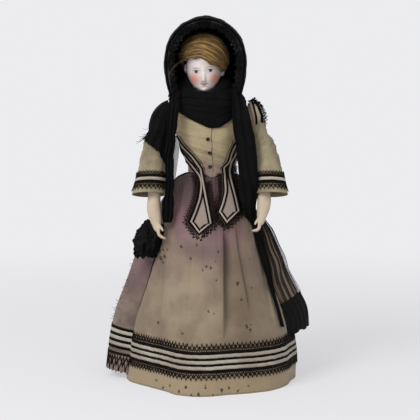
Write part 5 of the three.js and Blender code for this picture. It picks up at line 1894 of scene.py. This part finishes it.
def fuse(obj: bpy.types.Object, voxel: float) -> None:
    """Fuses the overlapping forms of a mesh into one smooth skin.

    Args:
        obj: the piece.
        voxel: the skin's fineness in millimetres.
    """
    remesh = obj.modifiers.new("fuse", "REMESH")
    remesh.mode = "VOXEL"
    remesh.voxel_size = voxel * MM
    remesh.use_smooth_shade = True
    depsgraph = bpy.context.evaluated_depsgraph_get()
    fused = bpy.data.meshes.new_from_object(obj.evaluated_get(depsgraph))
    obj.modifiers.remove(remesh)
    bm = bmesh.new()
    bm.from_mesh(fused)
    for _ in range(6):
        bmesh.ops.smooth_vert(bm, verts=bm.verts[:], factor=0.5, use_axis_x=True, use_axis_y=True, use_axis_z=True)
    bm.to_mesh(obj.data)
    bm.free()
    bpy.data.meshes.remove(fused)
    obj.data.shade_smooth()


@dataclass
class Scarf:
    """The black scarf: hood, wrap, shoulder drape, tails, bow and net."""
    figure: Figure
    skirt: Skirt
    right_arm: Arm
    hood_sway: float = -0.7
    hood_half_width: float = 48.2
    hood_bottom_half_width: float = 43
    hood_top: float = 420
    hood_arch: float = 52
    hood_front: float = 31
    hood_back: float = 46
    brim: float = 12
    wrap_lift: float = 7.9

    def __post_init__(self) -> None:
        """Fits the wrap's lower edge and the net's flare."""
        self.hood_middle = self.hood_top - self.hood_arch
        self.flare = through({
            0: 8, 30: 14, 56: 19, 88: 22.6, 115: 21, 138: 19.6, 167: 15, 185: 7, self.figure.hip + 20: 1.92})
        self.hood_bottom = self.figure.chin - 3
        self.edge_at = through({
            0.25: 286, 0.5: 315, 0.55: 314, 0.618: 308.5, 0.668: 302, 0.717: 295.5, 0.75: 292.2, 0.783: 292.6,
            0.817: 297.3, 0.85: 303, 0.9: 309, 0.95: 314, 1: 315, 1.25: 286})

    def hood(self, u: Array, v: Array, inset: Value = 0) -> Array:
        """A place on the hood: u over it from the doll's right, v from its rim to its back.

        Args:
            u: shares across it.
            v: shares of its depth.
            inset: how far in.

        Returns:
            The places.
        """
        leg_share, straight = 0.16, 0.35
        leg = np.minimum(u, 1 - u)
        turn = math.pi * (1 - unit((u - leg_share) / (1 - 2 * leg_share)))
        back = np.maximum((v - straight) / (1 - straight), 0) * (math.pi / 2)
        along = unit(v / straight)
        size = np.where(v < straight, lerp(0.95, 1, along), np.cos(back))
        y = np.where(v < straight, lerp(-self.hood_front, 0, v / straight), (self.hood_back - inset) * np.sin(back))
        rise_up = (self.hood_arch - inset) * size * np.sin(turn)
        down = np.maximum(1 - leg / leg_share, 0)
        width = (lerp(self.hood_half_width, self.hood_bottom_half_width, down**2) - inset) * size
        sag = 7 * rise(v, 0.4, 0.9) + 1.2 * wobble(3 * v, 5)
        height = self.hood_middle + rise_up - (self.hood_middle - self.hood_bottom + sag) * down
        return vec(self.hood_sway + width * np.cos(turn), y, height)

    def build(self) -> None:
        """Makes the scarf's pieces."""
        self.build_hood()
        self.build_wrap()
        self.build_drape()
        self.build_tails()
        self.build_tail_net()
        self.build_bow()
        self.build_net()

    def build_hood(self) -> None:
        """Makes the folded hood and the gathered, lace-edged brim inside its rim."""
        def cloth(u: Array, v: Array) -> Array:
            """The hood, folded back from its rim."""
            folds = 0.6 * wobble(u * 5 + 0.8 * v, 2) * rise(v, 0, 0.3) + 0.25 * wobble(u * 13 + v, 3)
            hem = 0.6 * bump_at(v, 0, 0.03) - 0.5 * bump_at(v, 0.06, 0.02)
            return self.hood(u, v, 0.6 - folds - hem)
        Piece("scarf_hood", SCARF, node="hood", thick=1.2, offset=-1, size=(190, 80),
              held=(Hold.DRAPED, "mohair_wig", "scarf_neck_wrap")).sheet(cloth, 170, 80)

        def gathered(u: Array, v: Array) -> Array:
            """The brim, v from the rim inwards, gathered in fine folds."""
            folds = cosine(38 * u + 0.5 * wobble(u * 6, 2))
            edge = 1 + 0.12 * wobble(u * 17, 4)
            at = self.hood(u, 0.012 + 0.05 * v, 1.9 + (self.brim * edge - 1.9) * v)
            return at + vec(0, 0.9 * folds * np.sin(math.pi * unit(0.15 + 0.85 * v)), 0)

        Piece("hood_gauze_brim", SCARF, thick=0.5, offset=0, size=(190, 12),
              held=(Hold.GATHERED, "scarf_hood")).sheet(gathered, 260, 8)
        bm = LaceEdge(6.4, 0.13).band(lambda u, v: gathered(u, lerp(1.12, 0.15, v)) - vec(0, 0.8, 0), 200)
        Piece("hood_rim_lace", HOOD_LACE, node="hood_lace", thick=0.4, offset=0).make(bm)

    def edge(self, u: Array) -> Array:
        """The wrap's lower edge at a share of a turn."""
        return self.edge_at(0.25 + np.mod(u - 0.25, 1))

    def wrap(self, u: Array, v: Array) -> Array:
        """A place on the neck wrap: its outside first, then the band that hugs the jaw.

        Args:
            u: shares of a turn.
            v: shares of the way from its lower edge.

        Returns:
            The places.
        """
        outside = 0.66
        side, aside = sine(u), cosine(u)
        front = side < 0

        def ring(width: float, ahead: float, behind: float, z: float) -> Array:
            """One ring of the wrap."""
            return vec(self.figure.sway(np.array(z)) + width * aside, np.where(front, ahead, behind) * side, z)

        bottom = self.figure.lift(u, self.edge(u), self.wrap_lift)
        belly, top = ring(45.2, 36, 42, 320), ring(41.2, 32, 41, 329.8)
        t = unit(v / outside)[..., None]
        cape = bottom * (1 - t) ** 2 + belly * 2 * t * (1 - t) + top * t**2
        hug = np.where(front, 0.75 + 0.25 * np.abs(aside), 1)
        climb = 19 * np.abs(aside) ** 3.4 * rise(side, 0.5, -0.2)
        jaw = vec(HEAD_SWAY + 20.5 * aside * hug, np.where(front, 26.5, 36) * side, 332.6 + climb)
        over = unit((v - outside) / (1 - outside))
        band = lerp(top, jaw, over[..., None]) + vec(0, 0, 2.2 * np.sin(math.pi * over))
        return np.where((v < outside)[..., None], cape, band)

    def build_wrap(self) -> None:
        """Makes the wrap with folds that run round under the chin."""
        def folds(u: Array, v: Array) -> Array:
            """Slanting folds, fading at the edges."""
            fade = rise(v, 0.02, 0.2) * rise(v, 1, 0.9)
            slant = v * 3 + 0.35 * sine(u) + 0.22 * cosine(u)
            return fade * (1.1 * wobble(slant, 2) + 0.4 * wobble(v * 7 - cosine(u), 3))
        Piece("scarf_neck_wrap", SCARF, node="neck_wrap", thick=1, size=(260, 60),
              held=(Hold.DRAPED, "fitted_bodice", "bisque_shoulder_head")).ring(lifted(self.wrap, folds), 200, 80)

    def build_drape(self) -> None:
        """Makes the end that lies over the right sleeve, baked in place, and frayed threads that ride on that arm."""
        arm = self.right_arm
        lowest = through({0.5: -46, 0.56: -62, 0.62: -58, 0.7: -46, 0.8: -38, 0.95: -30, 1.2: -24})

        def cloth(u: Array, v: Array) -> Array:
            """The drape, with hanging folds and a ragged lower edge."""
            turn = lerp(0.6, 1.2, u)
            low = arm.share(lowest(turn) + 2 * wobble(u * 11, 2))
            share = lerp(low, 0.97, v)
            folds = (0.4 + 0.8 * np.cos(FULL * 6 * u + 2 * v)) * rise(v, 1, 0.5)
            return arm.on_sleeve(turn, share, 1.9 + 2 * rise(share, 0.6, 0.8) + folds)

        span = tuple(in_frame(arm.place(vec(6, 0, z))) for z in (17, -9))
        Piece("right_shoulder_scarf_drape", SCARF, arm.body, "right_shoulder_drape", 0.8, size=(66, 64),
              mirrored=True, span=span, held=(Hold.DRAPED, "right_silk_sleeve")).sheet(cloth, 90, 70)
        rng = np.random.default_rng(11)
        bm = bmesh.new()
        for _ in range(9):
            turn, z = rng.uniform(0.92, 1.06), rng.uniform(-30, -14)
            reach = rng.uniform(6, 12)
            start = arm.sleeve(np.array([turn]), np.array([arm.share(z)]), 3.4)[0]
            bends = rng.uniform(-2.5, 2.5, 2)
            knots = [start, start + np.array([0.45 * reach, bends[0], -0.4 * reach]),
                     start + np.array([reach, bends[1], -rng.uniform(0.4, 1.1) * reach])]
            path = arm.place(smooth_path(knots, 10))
            add_thread(bm, path, np.linspace(0.3, 0.14, 10))
        arm.piece("frayed_threads", SCARF, "", False, size=(2, 12)).make(bm)

    def tail_path(self, mirror: int) -> Array:
        """The middle line of a hanging tail, from its lower end up to the hood.

        Args:
            mirror: -1 for the doll's right, 1 for its left.

        Returns:
            The line's points.
        """
        f = self.figure
        if mirror < 0:
            upper = [(-44, -35, 186), (-43.5, -37, 205), (-41.2, -39.5, 222), (-41, -37.5, 262), (-38, -36, 296),
                     (-36.5, -33, 316), (-35, -27, 334)]
            marks = []
        else:
            upper = [(50.5, -31, 197), (49.5, -35, 212), (48.5, -41, 235), (46.5, -39, 258), (45, -37.5, f.bust),
                     (41, -36, 300), (38.5, -33, 317), (34, -27, 335)]
            marks = [(lerp(0.915, 0.938, rise(z, 67, 150)), z) for z in np.linspace(67, f.hip + 4, 7)]
        lower = [tuple(self.skirt.lift(np.array([u]), np.array([z]), 4, smooth=True)[0]) for u, z in marks]
        return smooth_path(lower + upper, 60)

    def build_tails(self) -> None:
        """Makes both hanging tails, gathered into long folds."""
        widths = {
            "right": {0: 9, 0.06: 13, 0.15: 13, 0.23: 9, 0.62: 9.5, 0.75: 11, 0.9: 11.5, 1: 11},
            "left": {0: 4, 0.12: 5, 0.2: 10, 0.28: 15, 0.36: 16, 0.44: 18, 0.5: 24, 0.56: 24, 0.62: 22, 0.8: 23,
                     0.9: 20, 1: 13}}
        for side, mirror in SIDES.items():
            path = self.tail_path(mirror)
            levels = np.linspace(0, 1, len(path))
            leaves = float(np.interp(self.figure.hip + 24, path[:, 2], levels))
            side_on = 48 if mirror > 0 else 6
            turned = through({0: side_on, leaves: side_on, leaves + 0.14: 4, 0.86: 4, 1: 30})
            wide = through(widths[side])

            def cloth(u: Array, v: Array) -> Array:
                """The tail."""
                at = np.stack([np.interp(v, levels, path[:, i]) for i in range(3)], axis=-1)
                angle = np.radians(mirror * turned(v))
                along = vec(np.cos(angle), np.sin(angle), 0)
                out = vec(np.sin(angle), -np.cos(angle), 0)
                width = wide(v) + 0.6 * wobble(v * 7, 3)
                across = (u - 0.5) * width + 0.5 * wobble(v * 4, 5 + mirror)
                folds = 1.2 * cosine(2.6 * u + 0.3 * wobble(v * 2.2, 2)) - 1.8 * (2 * u - 1) ** 2
                return at + along * across[..., None] + out * (1.2 + folds)[..., None]

            Piece(f"{side}_hanging_tail", SCARF, node=f"{side}_scarf_tail", thick=0.7, offset=0,
                  size=(20, 240), held=(Hold.HUNG, "scarf_neck_wrap")).sheet(cloth, 28, 130)

    def build_tail_net(self) -> None:
        """Makes the strip of net that hangs between the right tail and the bodice."""
        inner = through({234: -35, 252: -32.5, 270: -30.5, 282: -33, 290: -38})

        def strip(u: Array, v: Array) -> Array:
            """The strip, which narrows to its lower end."""
            z = lerp(234, 290, v)
            return vec(lerp(-42, inner(z), u), -33.5 + 1.2 * cosine(1.5 * u + v), z)

        Piece("tail_net_strip", NET, size=(10, 56)).make(open_mesh(strip, 12, 64, 0.48))

    def build_bow(self) -> None:
        """Makes the crushed end of the right tail, a fan of ragged folds."""
        seat = self.skirt.lift(np.array([0.535]), np.array([self.figure.hip - 16]), 21, smooth=True)[0]
        bm = bmesh.new()
        for turn, size, inward in ((-40, 0.95, 12), (-6, 1.08, 10.5), (30, 1, 5), (64, 0.8, 0)):
            def leaf(u: Array, v: Array) -> Array:
                """One folded layer, narrow above and ragged below, which reaches in to the skirt."""
                spread = lerp(0.3, 1, np.sin(math.pi * unit(v * 0.72 + 0.14)))
                aside = (u - 0.5) * 23 * spread * size + 1.6 * wobble(v * 3, turn + 2) + 7 * (0.5 - v)
                aside = aside + inward * rise(u, 0.5, 1)
                tall = (v - 0.5) * 41 * size + 2 * wobble(u * 3, turn) * rise(v, 0.6, 1)
                tall = tall + (7 * (1 - np.sin(math.pi * u)) + wobble(u * 4, turn)) * rise(v, 0.5, 0)
                pleat = 2.6 * cosine(1.6 * u + turn / 90) * rise(v, 0, 0.5) * size
                angle = math.radians(turn)
                bulge = 5 * np.sin(math.pi * u) * np.sin(math.pi * v) + pleat + 0.8 * wobble(u * 3 + v * 2, turn)
                away = vec(aside * math.cos(angle) - bulge * math.sin(angle),
                           -aside * math.sin(angle) - bulge * math.cos(angle), -tall)
                return seat + away
            sheet_mesh(leaf, 34, 34, into=bm)
        Piece("scarf_bow", SATIN, node="right_scarf_bow", thick=0.6, offset=0, size=(28, 40),
              held=(Hold.GATHERED, "draped_overskirt", "trained_skirt")).make(bm)

    def net_at(self, u: Array, z: Array, over: Value = 0) -> Array:
        """A place on the net panel, which flares away from the skirt's left side."""
        top = self.figure.hip + 20
        flare = self.flare(z)
        folds = 1.1 * cosine(4.5 * u + 0.4 * wobble(z / 90, 3)) * rise(z, top, top - 30)
        return self.skirt.lift(lerp(0.965, 1.02, u), z, 2.6 + u * flare + folds + over, smooth=True)

    def build_net(self) -> None:
        """Makes the net panel of open mesh and its satin border."""
        low, high, deep = 88, self.figure.hip + 20, 34
        Piece("net_panel", NET, node="left_net_panel", size=(44, 112)).make(
            open_mesh(lambda u, v: self.net_at(u, lerp(low, high, v)), 36, 84, 0.62))

        def fold(u: Array, v: Array) -> Array:
            """The overskirt's billowing fold that the net hangs over."""
            z = lerp(low - deep, high - 6, v)
            tuck = np.sin(0.5 * math.pi * rise(z, low - deep, low + 4))
            billow = tuck * (self.flare(z) * np.sin(math.pi * u) + 0.6 * wobble(u * 4 + v, 4))
            return self.skirt.lift(lerp(0.965, 1.1, u), z, 0.6 + 0.95 * billow, smooth=True)

        Piece("overskirt_side_fold", SHADED_FOLD_SILK, thick=0.5, size=(44, 150),
              held=(Hold.HUNG, "trained_skirt")).sheet(fold, 30, 60)

        def border(u: Array, v: Array) -> Array:
            """The satin band along the net's lower edge."""
            z = lerp(low - deep, low + 1, v) + 1.6 * wobble(u * 2, 3) * (1 - v)
            return self.net_at(lerp(-0.4, 0.97, u), z, 0.7)

        Piece("net_satin_border", SATIN, node="left_net_border", thick=0.6, size=(48, 22),
              held=(Hold.HUNG, "net_panel")).sheet(border, 40, 20)


@dataclass
class Studio:
    """Pale floor and sky, soft light and the camera."""
    distance: float = 1.83
    height: float = 0.42
    aim: float = 0.196
    lens: float = 136.4
    aside: float = 0.0046
    floor: float = 9
    pale: Colour = (236, 236, 239)
    sky: float = 0.52
    lit: Vector = field(default_factory=lambda: Vector((0, 0, 0.2)))
    lamps: tuple = (("key", (-1, -1.3, 1.5), 1, 26), ("fill", (1.2, -1.2, 0.9), 1.4, 4))

    def build(self) -> None:
        """Makes the stage, the lamps and the camera."""
        self.build_stage()
        self.build_light()
        target = Vector((self.aside + SHIFT[0], SHIFT[1], self.aim))
        camera = bpy.data.objects.new("camera", bpy.data.cameras.new("camera"))
        camera.data.lens = self.lens
        camera.data.sensor_width = 36
        self.stand(camera, Vector((target.x, target.y - self.distance, self.height)), target)
        bpy.context.scene.camera = camera

    def stand(self, obj: bpy.types.Object, place: Vector, target: Vector) -> None:
        """Puts a lamp or the camera in its place, turned to a target."""
        obj.location = place
        obj.rotation_euler = (target - place).to_track_quat("-Z", "Y").to_euler()
        bpy.context.scene.collection.objects.link(obj)

    def build_stage(self) -> None:
        """Makes the floor, which looks like the sky far from the doll."""
        bm = bmesh.new()
        bmesh.ops.create_circle(bm, cap_ends=True, segments=96, radius=self.floor)
        mesh = bpy.data.meshes.new("studio_floor")
        bm.to_mesh(mesh)
        bm.free()
        mesh.materials.append(Paper("pale paper", Slot.MUSLIN, self.pale, self.pale, 3, 0.9).material())
        stage = bpy.data.objects.new("studio_floor", mesh)
        bpy.context.scene.collection.objects.link(stage)

    def build_light(self) -> None:
        """Makes an even sky and two soft lamps."""
        scene = bpy.context.scene
        scene.world = bpy.data.worlds.new("studio")
        scene.world.use_nodes = True
        sky = Nodes(scene.world.node_tree)
        glow = sky.first("BACKGROUND")
        sky.feed(glow.inputs["Color"], (255, 255, 255))
        sky.feed(glow.inputs["Strength"], self.sky)
        pale = sky.add("Background", {"Color": self.pale})
        both = sky.add("MixShader", {0: sky.seen(), 1: glow.outputs[0], 2: pale.outputs[0]})
        sky.feed(sky.first("OUTPUT_WORLD").inputs["Surface"], both.outputs[0])
        for name, place, size, power in self.lamps:
            data = bpy.data.lights.new(name, "AREA")
            data.size, data.energy = size, power
            self.stand(bpy.data.objects.new(name, data), Vector(place), self.lit)
        scene.view_settings.view_transform = "Standard"


def main() -> None:
    """Builds the doll from the body outwards, then the studio."""
    logging.basicConfig(level=logging.INFO, format="%(name)s: %(message)s")
    figure = Figure()
    skirt = Skirt(figure)
    right_arm = Arm(figure, "right", -1, epaulette_height=14.2, frill=3)
    left_arm = Arm(figure, "left", 1, knuckles=73, lean=2.2, curl=1, frill=5.5)
    parts = (
        StuffedBody(figure), ShoulderHead(figure), skirt, Jacket(figure, skirt), right_arm, left_arm,
        Scarf(figure, skirt, right_arm), Studio())
    for part in parts:
        part.build()
        log.info("built %s", type(part).__name__)


if __name__ == "__main__":
    main()
